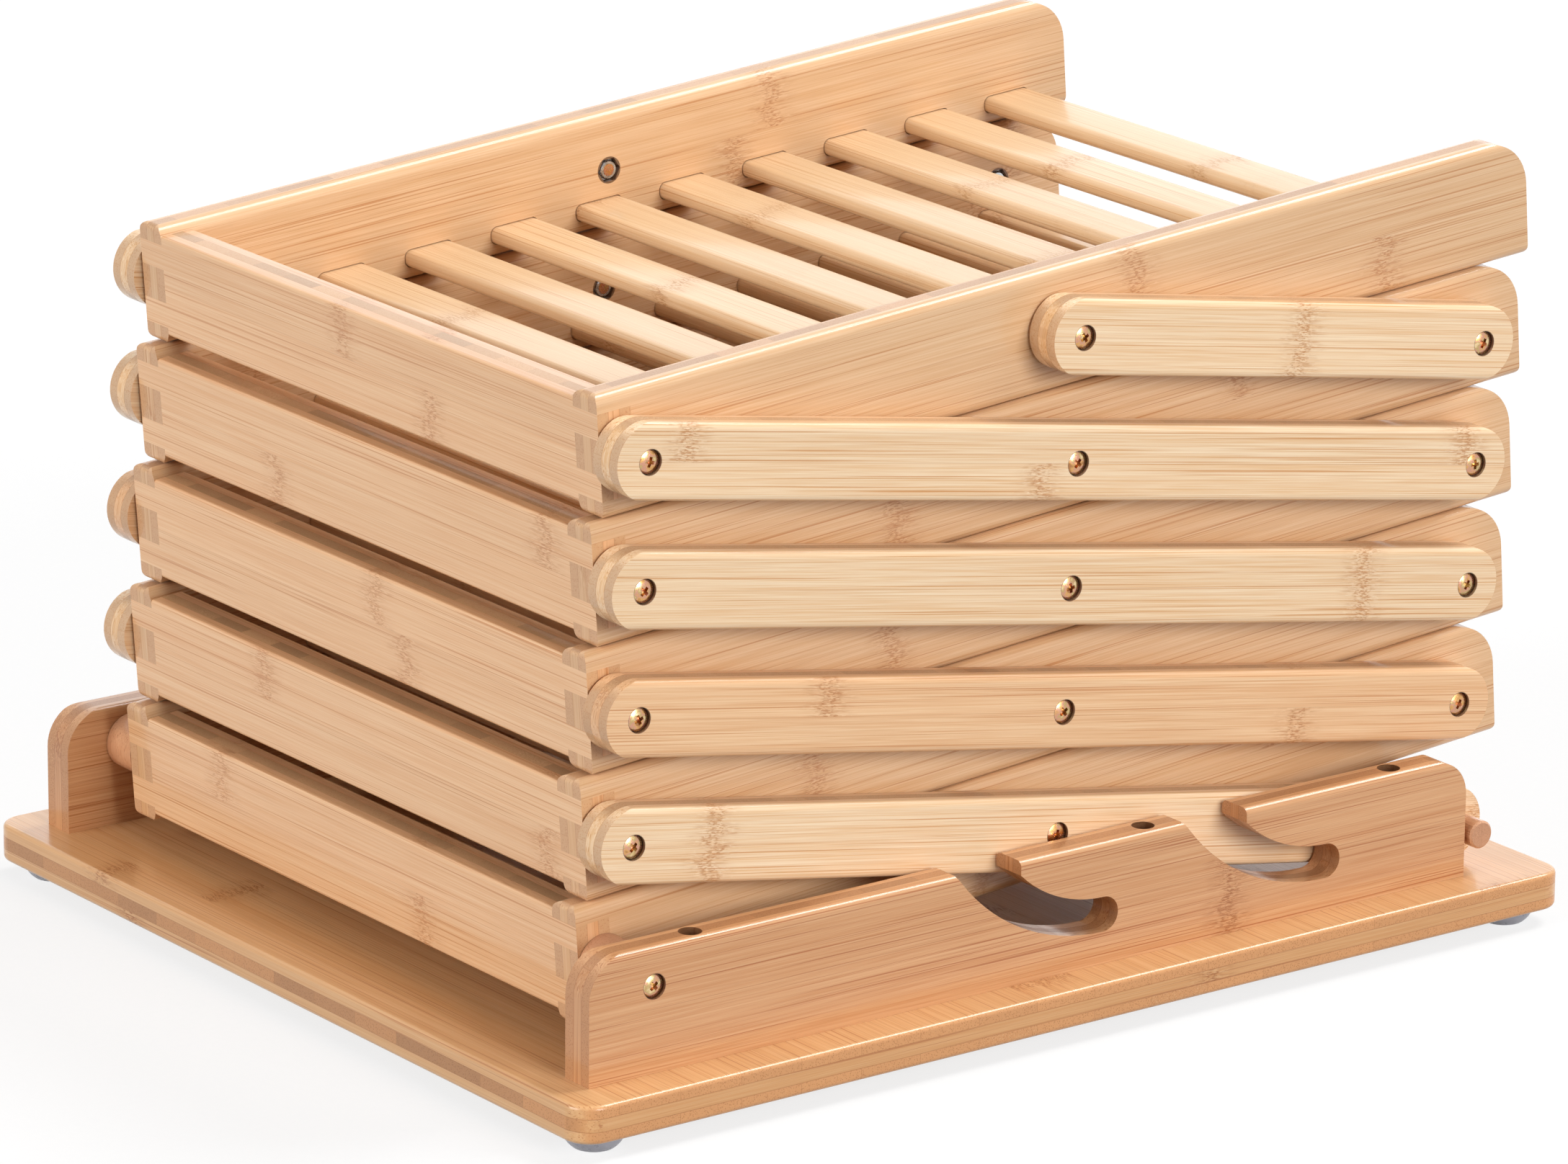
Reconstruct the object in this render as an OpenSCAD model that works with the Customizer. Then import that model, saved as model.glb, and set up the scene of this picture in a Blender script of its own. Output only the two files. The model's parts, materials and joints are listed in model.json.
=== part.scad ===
// Folding brochure stand in laminated bamboo, shown folded flat.
// Five slatted trays and five pairs of links form a lazy-tongs linkage. The bottom
// tray turns on two screws in the front of the notched cheeks. The rod through the
// lowest links drops into the front notches when the stand is opened out, and lies
// behind the cheeks when it is folded.
// The front faces -Y and +Z is up. Trays and links are numbered from the bottom.
// Origin: on the floor, in the middle of the footprint. Millimetres.

/* [Base board] */
// Ledge of the base board outside the cheeks
base_side_ledge = 14; // [6:0.5:40]
// Ledge of the base board in front of the cheeks
base_front_ledge = 12.2; // [6:0.2:40]
// Ledge of the base board behind the cheeks
base_rear_ledge = 31; // [20:0.2:60]
// Thickness of the base board
base_t = 12; // [9:0.5:20]
// Corner radius of the base board in plan
base_corner_r = 9; // [4:0.5:30]
// Rounding of the base board's edges
base_edge_r = 1.5; // [0.5:0.1:3]

/* [Feet] */
// Diameter of a bumper foot at the board
foot_d = 16; // [10:0.5:24]
// Diameter of the flat that a foot stands on
foot_face_d = 9; // [5:0.5:9]
// Height of a foot
foot_h = 5.5; // [3:0.1:10]
// Height of the upright rim of a foot, at the board
foot_rim = 1.1; // [0.5:0.1:2]
// Distance of a foot's centre from the base board's edges
foot_inset = 19; // [14:0.5:40]

/* [Cheeks] */
// Thickness of a cheek
cheek_t = 12; // [9:0.5:14]
// Height of a cheek above the base board
cheek_h = 39; // [37:0.2:45]
// Reach of a cheek in front of the front pivots
cheek_front = 23.4; // [18:0.2:27]
// Gap between a cheek's rear end and the support rod that lies behind it
cheek_rod_gap = 1.2; // [0.6:0.1:8]
// Radius of a cheek's front top corner
cheek_front_r = 13; // [4:0.5:16]
// Radius of a cheek's rear top corner
cheek_rear_r = 12; // [4:0.5:16]
// Rounding of a cheek's long top edges
cheek_edge_r = 2.2; // [0.5:0.1:3]
// Gap between a cheek and the links beside it
cheek_gap = 1; // [0.5:0.1:3]

/* [Notches] */
// Front notch seat, behind the front pivots
notch_y = 167.5; // [160:0.5:175]
// Distance from the front notch to the rear notch
notch_step = 87.5; // [80:0.5:92]
// Height of a seat's centre above the base board
seat_z = 16; // [13:0.2:18]
// Radius of the rod's seat
seat_r = 5.6; // [5:0.1:6.5]
// Radius of the ramp that leads down to the seat
ramp_r = 70; // [60:1:85]
// Radius of the underside of the hook over the seat
hook_r = 46; // [40:1:55]
// Reach of the hook in front of the seat
hook_reach = 32; // [26:0.5:36]

/* [Cheek screws] */
// Diameter of a cheek screw's shank
cheek_screw_d = 4; // [3:0.5:5]
// Diameter of a cheek screw's head
cheek_screw_head_d = 6.4; // [5.5:0.1:6.8]
// Diameter of the holes that the cheek screws are sunk in
cheek_hole_d = 7; // [6.9:0.1:8]
// Depth of the holes that the cheek screws are sunk in
cheek_hole_depth = 20; // [10:0.5:24]
// Bite of a cheek screw in the base board
cheek_screw_bite = 8; // [5:0.5:8.5]
// Front cheek screw, behind the front pivots
cheek_screw_front = 17; // [13:0.5:30]
// Middle cheek screw, behind the front notch's seat
cheek_screw_middle = 19.5; // [13:0.5:23]
// Rear cheek screw, in front of the cheek's rear end
cheek_screw_rear = 27; // [20:0.5:40]

/* [Tray sides] */
// Clear width between a tray's side boards
inner_w = 220; // [200:1:230]
// Thickness of a side board
side_t = 12; // [10:0.5:13]
// Height of a side board
side_h = 38; // [34:0.5:40]
// Reach of a side board in front of the front pivot
side_front = 8.8; // [7:0.1:12]
// Reach of a side board behind the rear pivot
side_rear = 25.2; // [16:0.1:30]
// Radius of a side board's rear top corner
side_rear_r = 15; // [5:0.5:17]
// Radius of a side board's other corners
side_toe_r = 2; // [0.5:0.1:4]
// Rounding of a side board's outer long edges
side_outer_r = 3; // [0.5:0.1:4]
// Rounding of a side board's inner long edges
side_inner_r = 4; // [0.5:0.1:5]

/* [Tray fronts] */
// Thickness of a front board
front_t = 11.9; // [10:0.1:14]
// Height of a front board
front_h = 26.8; // [22:0.2:30]
// Rounding of a front board's long edges
front_edge_r = 2.5; // [0.5:0.1:4]
// Height of a side board's middle finger in the corner joint
finger_h = 10.8; // [8:0.2:14]

/* [Slats] */
// Number of slats in a tray
slat_count = 10; // [6:1:10]
// Width of a slat
slat_w = 18; // [12:0.5:24]
// Thickness of a slat
slat_t = 5.5; // [4:0.1:7]
// Distance from one slat to the next
slat_pitch = 33; // [28:0.5:34]
// Front edge of the first slat, behind the front pivot
slat_start = 14.3; // [6:0.1:18]
// Depth of a slat's top below the pivot line
slat_drop = 9; // [8:0.1:11]
// Rounding of a slat's edges
slat_edge_r = 2.2; // [0.5:0.1:2.7]
// Depth of a slat's mortise in the side board
mortise_depth = 6; // [4:0.5:8]
// Clearance round a slat in its mortise
mortise_fit = 0.25; // [0.1:0.05:0.5]

/* [Links] */
// Height of a link
link_h = 23.6; // [18:0.2:26]
// Thickness of a link
link_t = 12; // [9:0.5:14]
// Rounding of a link's long edges
link_edge_r = 2.2; // [0.5:0.1:4]
// Gap between a link and the side board beside it
link_gap = 1; // [0.8:0.1:2]

/* [Fold] */
// Distance from a middle pivot to an end pivot
pivot_half = 160; // [158:0.5:170]
// Slope of the trays when folded
tray_tilt = 4.4; // [3.6:0.1:6]
// Gap between the side boards of folded trays
stack_gap = 0.5; // [0.4:0.1:2]
// Height of the lowest links' rear ends above the base board when folded
link_rest_gap = 1; // [1:0.1:3]

/* [Pivot screws] */
// Diameter of a pivot screw's shank
pivot_d = 4; // [3:0.1:5]
// Radial running clearance of a pivot screw in its bore
pivot_fit = 0.08; // [0.02:0.01:0.1]
// Radial clearance of a screw where it is driven home
thread_fit = 0.04; // [0.01:0.01:0.1]
// Diameter of a pivot screw's head
head_d = 7.2; // [6.5:0.1:9]
// Height of a pivot screw's head
head_h = 2.4; // [1.5:0.1:3]
// Radial clearance of a head in its counterbore
head_fit = 0.3; // [0.1:0.05:0.6]
// Depth that a head lies below the face
head_sink = 0.2; // [0:0.1:1]
// Bite of a wood screw in a front board
screw_bite = 18; // [10:1:40]

/* [Nuts, washers and spacers] */
// Width across the flats of a lock nut
nut_af = 7; // [6:0.1:8]
// Height of a lock nut
nut_h = 5; // [3:0.1:6]
// Diameter of a lock nut's round collar
nut_collar_d = 6.4; // [5.2:0.1:6.8]
// Height of a lock nut's round collar
nut_collar_h = 1.7; // [1:0.1:2.4]
// Clearance round a lock nut in its pocket
nut_fit = 0.2; // [0.1:0.05:0.4]
// Diameter of a pivot washer
washer_d = 10; // [8:0.5:14]
// Side clearance of a washer between the boards
washer_play = 0.1; // [0.05:0.05:0.2]
// Diameter of the spacer discs beside the bottom tray
spacer_d = 18; // [12:0.5:20]
// Side clearance of a spacer disc
spacer_play = 0.2; // [0.1:0.05:0.3]

/* [Support rod] */
// Diameter of the support rod
rod_d = 9; // [8:0.1:9.6]
// Clearance between a rod end and the cheek beside it
rod_end_gap = 0.4; // [0.3:0.1:2]
// Clearance round the rod in the links, where it is glued
rod_fit = 0.05; // [0.01:0.01:0.1]

/* [Hidden] */
$fn = 96;
TRAYS = 5;
HEX = 6;
SMALL_FN = 48;
CUT = 1;
SQUARE = 0.01;

// Stations across the stand, from the middle outwards
side_x0 = inner_w / 2;
side_x1 = side_x0 + side_t;
link_x0 = side_x1 + link_gap;
link_x1 = link_x0 + link_t;
cheek_x0 = link_x1 + cheek_gap;
cheek_x1 = cheek_x0 + cheek_t;
cheek_mid = (cheek_x0 + cheek_x1) / 2;
base_x1 = cheek_x1 + base_side_ledge;

// Angles of the folded linkage and the step from one tray to the next
fold_angle = asin((side_h + stack_gap) / pivot_half);
link_tilt = tray_tilt - fold_angle;
step_y = pivot_half * (cos(tray_tilt) - cos(link_tilt));
step_z = pivot_half * (sin(tray_tilt) - sin(link_tilt));

// Height of the front pivot above the base board, which lets the lowest links lie
// just clear of the board
rod_drop = -pivot_half * (sin(tray_tilt) + sin(link_tilt));
front_pivot_h = link_h / 2 + link_rest_gap + rod_drop;

// Lengths along the base, from the front pivots. The rod lies just behind the cheeks
// when the stand is folded, and the base board reaches past them.
rod_rest_y = pivot_half * (cos(tray_tilt) + cos(link_tilt));
cheek_rear = rod_rest_y - rod_d / 2 - cheek_rod_gap;
base_front = cheek_front + base_front_ledge;
base_rear = cheek_rear + base_rear_ledge;

// Ends of a side board along the tray
side_y0 = -side_front;
side_y1 = 2 * pivot_half + side_rear;
front_y1 = side_y0 + front_t;

// The footprint, from the front pivots, sets the origin in its middle
toe_y = (side_y1 - side_toe_r) * cos(tray_tilt)
      + (side_h / 2 - side_toe_r) * sin(tray_tilt) + side_toe_r;
foot_rear = max(base_rear, (TRAYS - 1) * step_y + toe_y);
pivot_y0 = (base_front - foot_rear) / 2;
base_top = foot_h + base_t;
pivot_z0 = base_top + front_pivot_h;

// Heads, nuts and their recesses
recess = head_h + head_sink;
pivot_r = pivot_d / 2;
bore_r = pivot_r + pivot_fit;
thread_r = pivot_r + thread_fit;
counterbore_r = head_d / 2 + head_fit;
nut_r = nut_af / 2 / cos(180 / HEX);
pocket_r = (nut_af / 2 + nut_fit) / cos(180 / HEX);
pocket_depth = nut_h + head_sink;

// Places of the cheek screws behind the front pivots: one in the front end, one
// between the notches and one behind the rear notch
cheek_screw_y = [cheek_screw_front, notch_y + cheek_screw_middle, cheek_rear - cheek_screw_rear];

// Places and frames

// Moves to tray k's frame: origin on its front pivot, Y along the tray
module in_tray(k) {
    translate([0, pivot_y0 + (k - 1) * step_y, pivot_z0 + (k - 1) * step_z])
        rotate([tray_tilt, 0, 0])
            children();
}

// Moves to link k's frame: origin on the middle pivot that it shares with tray k,
// Y along the link
module in_link(k) {
    in_tray(k)
        translate([0, pivot_half, 0])
            rotate([link_tilt - tray_tilt, 0, 0])
                children();
}

// Moves to the cheeks' frame: origin under the front pivots, on the base board
module in_cheek() {
    translate([0, pivot_y0, base_top])
        children();
}

// Draws its children on the right, and mirrored on the left
module both_sides() {
    children();
    mirror([1, 0, 0])
        children();
}

// Shapes

// Rectangle from [x0, y0] to [x1, y1] whose corners have the radii r, in the order
// low left, low right, high right, high left
module rounded_box_2d(x0, y0, x1, y1, r) {
    corners = [[x0, y0, 1, 1], [x1, y0, -1, 1], [x1, y1, -1, -1], [x0, y1, 1, -1]];
    difference() {
        translate([x0, y0])
            square([x1 - x0, y1 - y0]);
        for (i = [0 : 3]) {
            c = corners[i];
            translate([c[0], c[1]])
                scale([c[2], c[3]])
                    corner_waste_2d(r[i]);
        }
    }
}

// The waste that rounding takes off a corner at the origin
module corner_waste_2d(r) {
    difference() {
        translate([-CUT, -CUT])
            square(r + CUT);
        translate([r, r])
            circle(r);
    }
}

// Extrudes an outline drawn in Y and Z across the stand, from x0 to x1
module across(x0, x1) {
    translate([x0, 0, 0])
        rotate([90, 0, 90])
            linear_extrude(x1 - x0)
                children();
}

// Extrudes a section drawn in X and Z along the boards, from y0 to y1
module along(y0, y1) {
    translate([0, y1, 0])
        rotate([90, 0, 0])
            linear_extrude(y1 - y0)
                children();
}

// A bore across the stand, from x0 to x1, at [y, z]
module bore(x0, x1, r, y = 0, z = 0) {
    translate([x0, y, z])
        rotate([0, 90, 0])
            cylinder(r = r, h = x1 - x0);
}

// Solid of revolution across the stand about a pivot, from x0 to x1
module disc(x0, x1, r, bore_r) {
    difference() {
        bore(x0, x1, r);
        bore(x0 - CUT, x1 + CUT, bore_r);
    }
}

// Base

module base_board() {
    y0 = pivot_y0 - base_front;
    y1 = pivot_y0 + base_rear;
    x1 = base_x1;
    e = base_edge_r;
    c = base_corner_r;
    color("burlywood")
        translate([0, 0, foot_h])
            difference() {
                union() {
                    along(y0 + c, y1 - c)
                        rounded_box_2d(-x1, 0, x1, base_t, [e, e, e, e]);
                    across(-x1 + c, x1 - c)
                        rounded_box_2d(y0, 0, y1, base_t, [e, e, e, e]);
                    for (x = [-x1 + c, x1 - c], y = [y0 + c, y1 - c])
                        translate([x, y, 0])
                            rotate_extrude()
                                intersection() {
                                    rounded_box_2d(-c, 0, c, base_t, [e, e, e, e]);
                                    square([c, base_t]);
                                }
                }
                for (x = [-cheek_mid, cheek_mid], y = cheek_screw_y)
                    translate([x, pivot_y0 + y, base_t - cheek_screw_bite - CUT])
                        cylinder(d = cheek_screw_d + 2 * thread_fit,
                                 h = cheek_screw_bite + 2 * CUT);
            }
}

// Domed bumper: a flat to stand on, a round flank and a straight rim at the board
module foot() {
    r = foot_d / 2;
    face_r = foot_face_d / 2;
    // Centre and radius of the flank, which leaves the rim upright and meets the flat
    run = r - face_r;
    rise = foot_h - foot_rim;
    flank_r = (run * run + rise * rise) / (2 * run);
    rotate_extrude()
        union() {
            intersection() {
                translate([r - flank_r, rise])
                    circle(flank_r);
                square([r, rise]);
            }
            square([face_r, foot_h]);
            translate([0, rise])
                square([r, foot_rim]);
        }
}

module feet() {
    x = base_x1 - foot_inset;
    color("gainsboro")
        for (sx = [-x, x],
             y = [pivot_y0 - base_front + foot_inset, pivot_y0 + base_rear - foot_inset])
            translate([sx, y, 0])
                foot();
}

// Cheeks

// Opening that the rod drops into: a ramp down to a round seat under a hook
module notch_2d(y) {
    tip_y = y - hook_reach;
    difference() {
        intersection() {
            translate([y, seat_z - seat_r + ramp_r])
                circle(ramp_r);
            translate([y - ramp_r, 0])
                square([ramp_r, cheek_h + CUT]);
        }
        intersection() {
            translate([y, seat_z + seat_r + hook_r])
                circle(hook_r);
            translate([tip_y, 0])
                square([hook_reach + CUT, cheek_h + 2 * CUT]);
        }
    }
    translate([y, seat_z])
        circle(seat_r, $fn = SMALL_FN);
}

module cheek() {
    in_cheek()
        difference() {
            intersection() {
                across(cheek_x0, cheek_x1)
                    difference() {
                        rounded_box_2d(-cheek_front, 0, cheek_rear, cheek_h,
                                       [SQUARE, SQUARE, cheek_rear_r, cheek_front_r]);
                        notch_2d(notch_y);
                        notch_2d(notch_y + notch_step);
                    }
                along(-cheek_front - CUT, cheek_rear + CUT)
                    rounded_box_2d(cheek_x0, 0, cheek_x1, cheek_h,
                                   [SQUARE, SQUARE, cheek_edge_r, cheek_edge_r]);
            }
            bore(cheek_x0 - CUT, cheek_x1 + CUT, bore_r, 0, front_pivot_h);
            bore(cheek_x1 - recess, cheek_x1 + CUT, counterbore_r, 0, front_pivot_h);
            for (y = cheek_screw_y)
                translate([cheek_mid, y, 0]) {
                    translate([0, 0, -CUT])
                        cylinder(d = cheek_screw_d + 2 * thread_fit, h = cheek_h);
                    translate([0, 0, cheek_h - cheek_hole_depth])
                        cylinder(d = cheek_hole_d, h = cheek_hole_depth + CUT);
                }
        }
}

module cheek_left() {
    color("burlywood")
        mirror([1, 0, 0])
            cheek();
}

module cheek_right() {
    color("burlywood")
        cheek();
}

// Wood screws sunk deep in the cheeks, which hold them down on the base board
module cheek_screws() {
    color("darkgoldenrod")
        in_cheek()
            for (x = [-cheek_mid, cheek_mid], y = cheek_screw_y)
                translate([x, y, 0]) {
                    translate([0, 0, -cheek_screw_bite])
                        cylinder(d = cheek_screw_d,
                                 h = cheek_h - cheek_hole_depth + cheek_screw_bite);
                    translate([0, 0, cheek_h - cheek_hole_depth])
                        cylinder(d = cheek_screw_head_d, h = head_h);
                }
}

// Fasteners

// Pan head whose outer face lies head_sink below the face at x1
module pan_head(x1) {
    dome_r = (head_d * head_d / 4 + head_h * head_h) / (2 * head_h) + head_h / 2;
    translate([x1 - recess, 0, 0])
        rotate([0, 90, 0])
            intersection() {
                cylinder(d = head_d, h = head_h);
                translate([0, 0, head_h - dome_r])
                    sphere(dome_r);
            }
}

// Screw with its head in the face at x1 and its tip at x0
module pivot_screw(x0, x1) {
    union() {
        bore(x0, x1 - recess + head_h / 3, pivot_r);
        pan_head(x1);
    }
}

// Hexagonal prism across the stand, with two corners along the board
module hexagon(x0, x1, r) {
    translate([x0, 0, 0])
        rotate([0, 90, 0])
            rotate([0, 0, 90])
                cylinder(r = r, h = x1 - x0, $fn = HEX);
}

// Lock nut, flush in its pocket in the side board's inner face, with its round collar
// inwards
module lock_nut() {
    x0 = side_x0 + head_sink;
    difference() {
        union() {
            hexagon(x0 + nut_collar_h, x0 + nut_h, nut_r);
            bore(x0, x0 + nut_h, nut_collar_d / 2);
        }
        bore(x0 - CUT, x0 + nut_h + CUT, thread_r);
    }
}

// Wood screws that are driven into the bottom tray's corners and turn in the cheeks
module front_pivot_screws() {
    color("darkgoldenrod")
        in_tray(1)
            both_sides()
                pivot_screw(side_x0 - screw_bite, cheek_x1);
}

module front_spacers() {
    color("tan")
        in_tray(1)
            both_sides()
                disc(side_x1 + spacer_play, cheek_x0 - spacer_play, spacer_d / 2, bore_r);
}

// Middle pivots of every tray, and rear pivots of every tray but the top one
function bolt_stations(k) = k < TRAYS ? [pivot_half, 2 * pivot_half] : [pivot_half];

// Front pivots too, on every tray but the bottom one
function washer_stations(k) = k > 1 ? concat([0], bolt_stations(k)) : bolt_stations(k);

module tray_bolts(k) {
    color("darkgoldenrod")
        in_tray(k)
            both_sides()
                for (y = bolt_stations(k))
                    translate([0, y, 0])
                        pivot_screw(side_x0 + head_sink, link_x1);
}

module tray_nuts(k) {
    color("silver")
        in_tray(k)
            both_sides()
                for (y = bolt_stations(k))
                    translate([0, y, 0])
                        lock_nut();
}

module tray_washers(k) {
    color("gray")
        in_tray(k)
            both_sides()
                for (y = washer_stations(k))
                    translate([0, y, 0])
                        disc(side_x1 + washer_play, link_x0 - washer_play,
                             washer_d / 2, bore_r);
}

// Wood screws through the links' front ends into the tray's front board
module tray_front_screws(k) {
    color("darkgoldenrod")
        in_tray(k)
            both_sides()
                pivot_screw(side_x0 - screw_bite, link_x1);
}

// Trays

function slat_y(i) = slat_start + i * slat_pitch;

module slat_section_2d(y, grow = 0) {
    rounded_box_2d(y - grow, -slat_drop - slat_t - grow,
                   y + slat_w + grow, -slat_drop + grow,
                   [1, 1, 1, 1] * (slat_edge_r + grow));
}

// Side board on the right: a rounded strip with a round rear corner, mortised for
// the slats, fingered at the front corner and bored for its pivots
module side_board(k) {
    half = side_h / 2;
    in_tray(k)
        difference() {
            intersection() {
                across(side_x0, side_x1)
                    rounded_box_2d(side_y0, -half, side_y1, half,
                                   [side_toe_r, side_toe_r, side_rear_r, side_toe_r]);
                along(side_y0 - CUT, side_y1 + CUT)
                    rounded_box_2d(side_x0, -half, side_x1, half,
                                   [side_inner_r, side_outer_r, side_outer_r, side_inner_r]);
            }
            front_fingers(side_x0 - CUT, side_x1 + CUT, CUT);
            across(side_x0 - CUT, side_x0 + mortise_depth)
                for (i = [0 : slat_count - 1])
                    slat_section_2d(slat_y(i), mortise_fit);
            bore(side_x0 - CUT, side_x1 + CUT, thread_r);
            for (y = bolt_stations(k))
                translate([0, y, 0]) {
                    bore(side_x0 - CUT, side_x1 + CUT, thread_r);
                    hexagon(side_x0 - CUT, side_x0 + pocket_depth, pocket_r);
                }
        }
}

module tray_side_left(k) {
    color("wheat")
        mirror([1, 0, 0])
            side_board(k);
}

module tray_side_right(k) {
    color("wheat")
        side_board(k);
}

// The front board's two fingers, above and below the side board's middle finger
module front_fingers(x0, x1, front_over = 0) {
    for (s = [-1, 1])
        translate([x0, side_y0 - front_over, s > 0 ? finger_h / 2 : -front_h / 2])
            cube([x1 - x0, front_t + front_over, (front_h - finger_h) / 2]);
}

module tray_front(k) {
    color("wheat")
        in_tray(k)
            difference() {
                union() {
                    across(-side_x0, side_x0)
                        rounded_box_2d(side_y0, -front_h / 2, front_y1, front_h / 2,
                                       [1, 1, 1, 1] * front_edge_r);
                    both_sides()
                        front_fingers(side_x0, side_x1);
                }
                both_sides()
                    bore(side_x0 - screw_bite - CUT, side_x1 + CUT, thread_r);
            }
}

module tray_slats(k) {
    end_x = side_x0 + mortise_depth - mortise_fit;
    color("navajowhite")
        in_tray(k)
            for (i = [0 : slat_count - 1])
                across(-end_x, end_x)
                    slat_section_2d(slat_y(i));
}

// Links

// Bores of a link, from its middle pivot: the top link is a rear half
function link_y0(k) = k < TRAYS ? -pivot_half : 0;

function link_stations(k) = k < TRAYS ? [-pivot_half, 0, pivot_half] : [0, pivot_half];

// Link on the right: a strip with round ends. The rod takes the place of the rear
// pivot screw in the lowest one.
module link_board(k) {
    r = link_h / 2;
    e = link_edge_r;
    y0 = link_y0(k);
    in_link(k)
        difference() {
            intersection() {
                across(link_x0, link_x1)
                    union() {
                        translate([y0, -r])
                            square([pivot_half - y0, link_h]);
                        translate([y0, 0])
                            circle(r);
                        translate([pivot_half, 0])
                            circle(r);
                    }
                along(y0 - link_h, pivot_half + link_h)
                    rounded_box_2d(link_x0, -r, link_x1, r, [e, e, e, e]);
            }
            for (y = link_stations(k))
                translate([0, y, 0])
                    if (k == 1 && y > 0) {
                        bore(link_x0 - CUT, link_x1 + CUT, rod_d / 2 + rod_fit);
                    } else {
                        bore(link_x0 - CUT, link_x1 + CUT, bore_r);
                        bore(link_x1 - recess, link_x1 + CUT, counterbore_r);
                    }
        }
}

module link_left(k) {
    color("wheat")
        mirror([1, 0, 0])
            link_board(k);
}

module link_right(k) {
    color("wheat")
        link_board(k);
}

// The rod's ends stop just inside the cheeks: its place in the notches is where the
// closed linkage is opened, so it runs clear of them
module support_rod() {
    x1 = cheek_x0 - rod_end_gap;
    color("burlywood")
        in_link(1)
            bore(-x1, x1, rod_d / 2, pivot_half);
}

base_board();
feet();
cheek_left();
cheek_right();
cheek_screws();
front_pivot_screws();
front_spacers();
tray_side_left(1);  // tray_1_left_side
tray_side_right(1);  // tray_1_right_side
tray_front(1);  // tray_1_front
tray_slats(1);  // tray_1_slats
tray_bolts(1);  // tray_1_bolts
tray_nuts(1);  // tray_1_nuts
tray_washers(1);  // tray_1_washers
link_left(1);  // link_1_left
link_right(1);  // link_1_right
support_rod();
tray_side_left(2);  // tray_2_left_side
tray_side_right(2);  // tray_2_right_side
tray_front(2);  // tray_2_front
tray_slats(2);  // tray_2_slats
tray_bolts(2);  // tray_2_bolts
tray_nuts(2);  // tray_2_nuts
tray_washers(2);  // tray_2_washers
tray_front_screws(2);  // tray_2_front_screws
link_left(2);  // link_2_left
link_right(2);  // link_2_right
tray_side_left(3);  // tray_3_left_side
tray_side_right(3);  // tray_3_right_side
tray_front(3);  // tray_3_front
tray_slats(3);  // tray_3_slats
tray_bolts(3);  // tray_3_bolts
tray_nuts(3);  // tray_3_nuts
tray_washers(3);  // tray_3_washers
tray_front_screws(3);  // tray_3_front_screws
link_left(3);  // link_3_left
link_right(3);  // link_3_right
tray_side_left(4);  // tray_4_left_side
tray_side_right(4);  // tray_4_right_side
tray_front(4);  // tray_4_front
tray_slats(4);  // tray_4_slats
tray_bolts(4);  // tray_4_bolts
tray_nuts(4);  // tray_4_nuts
tray_washers(4);  // tray_4_washers
tray_front_screws(4);  // tray_4_front_screws
link_left(4);  // link_4_left
link_right(4);  // link_4_right
tray_side_left(5);  // tray_5_left_side
tray_side_right(5);  // tray_5_right_side
tray_front(5);  // tray_5_front
tray_slats(5);  // tray_5_slats
tray_bolts(5);  // tray_5_bolts
tray_nuts(5);  // tray_5_nuts
tray_washers(5);  // tray_5_washers
tray_front_screws(5);  // tray_5_front_screws
link_left(5);  // link_5_left
link_right(5);  // link_5_right
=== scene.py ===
"""Folding brochure stand in laminated bamboo, folded flat on its notched base, in a plain studio.

The base board, cheeks, side boards, links, washers and spacers are the solids of the frame and get their
finishes here. Screws, lock nuts, slats, front boards, bumpers and the support rod are made here in full and
stand for the plain ones of the frame. The front faces -Y, and trays and links are numbered from the bottom.
Sizes are in millimetres, the scene is in metres.
"""

import json
import logging
import math
from dataclasses import dataclass
from enum import Enum
from typing import Any, Callable, Iterable, Sequence

import bpy
from mathutils import Matrix, Vector


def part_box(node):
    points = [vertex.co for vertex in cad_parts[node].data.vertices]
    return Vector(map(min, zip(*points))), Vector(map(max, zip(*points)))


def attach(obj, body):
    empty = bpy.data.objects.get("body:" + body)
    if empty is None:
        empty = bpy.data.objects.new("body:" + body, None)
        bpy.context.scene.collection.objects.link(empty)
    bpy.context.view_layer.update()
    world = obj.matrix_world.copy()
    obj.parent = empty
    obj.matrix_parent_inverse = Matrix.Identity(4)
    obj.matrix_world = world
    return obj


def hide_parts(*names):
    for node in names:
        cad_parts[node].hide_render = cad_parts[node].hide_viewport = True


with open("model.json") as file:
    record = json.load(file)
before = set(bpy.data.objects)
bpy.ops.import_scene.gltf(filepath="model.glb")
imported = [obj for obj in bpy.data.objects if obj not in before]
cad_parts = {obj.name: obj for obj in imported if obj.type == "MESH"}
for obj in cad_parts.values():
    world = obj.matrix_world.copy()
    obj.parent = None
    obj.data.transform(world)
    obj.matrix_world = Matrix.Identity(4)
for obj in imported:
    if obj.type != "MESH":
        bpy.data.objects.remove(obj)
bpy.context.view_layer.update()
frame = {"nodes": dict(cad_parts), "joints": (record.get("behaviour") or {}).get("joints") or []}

LOG = logging.getLogger("brochure_stand")
MM = 0.001
TRAYS = 5
RIGHT, LEFT = 1, -1
SIDES = {RIGHT: "right", LEFT: "left"}
X_AXIS = Vector((1, 0, 0))
Y_AXIS = Vector((0, 1, 0))
Z_AXIS = Vector((0, 0, 1))

# Angle from which on an edge is sharp, a counterbore's radius, and how deep a wood screw bites
SHARP = math.radians(32)
COUNTERBORE_R = 3.9
SCREW_BITE = 18.0

# Width of strip that leaves a piece without joints, and where most values of a noise lie
UNSPLIT = 400.0
NOISE_SPAN = (0.3, 0.7)

Colour = tuple[float, float, float, float]
Node = bpy.types.Node
Piece = bpy.types.Object
Material = bpy.types.Material


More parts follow.
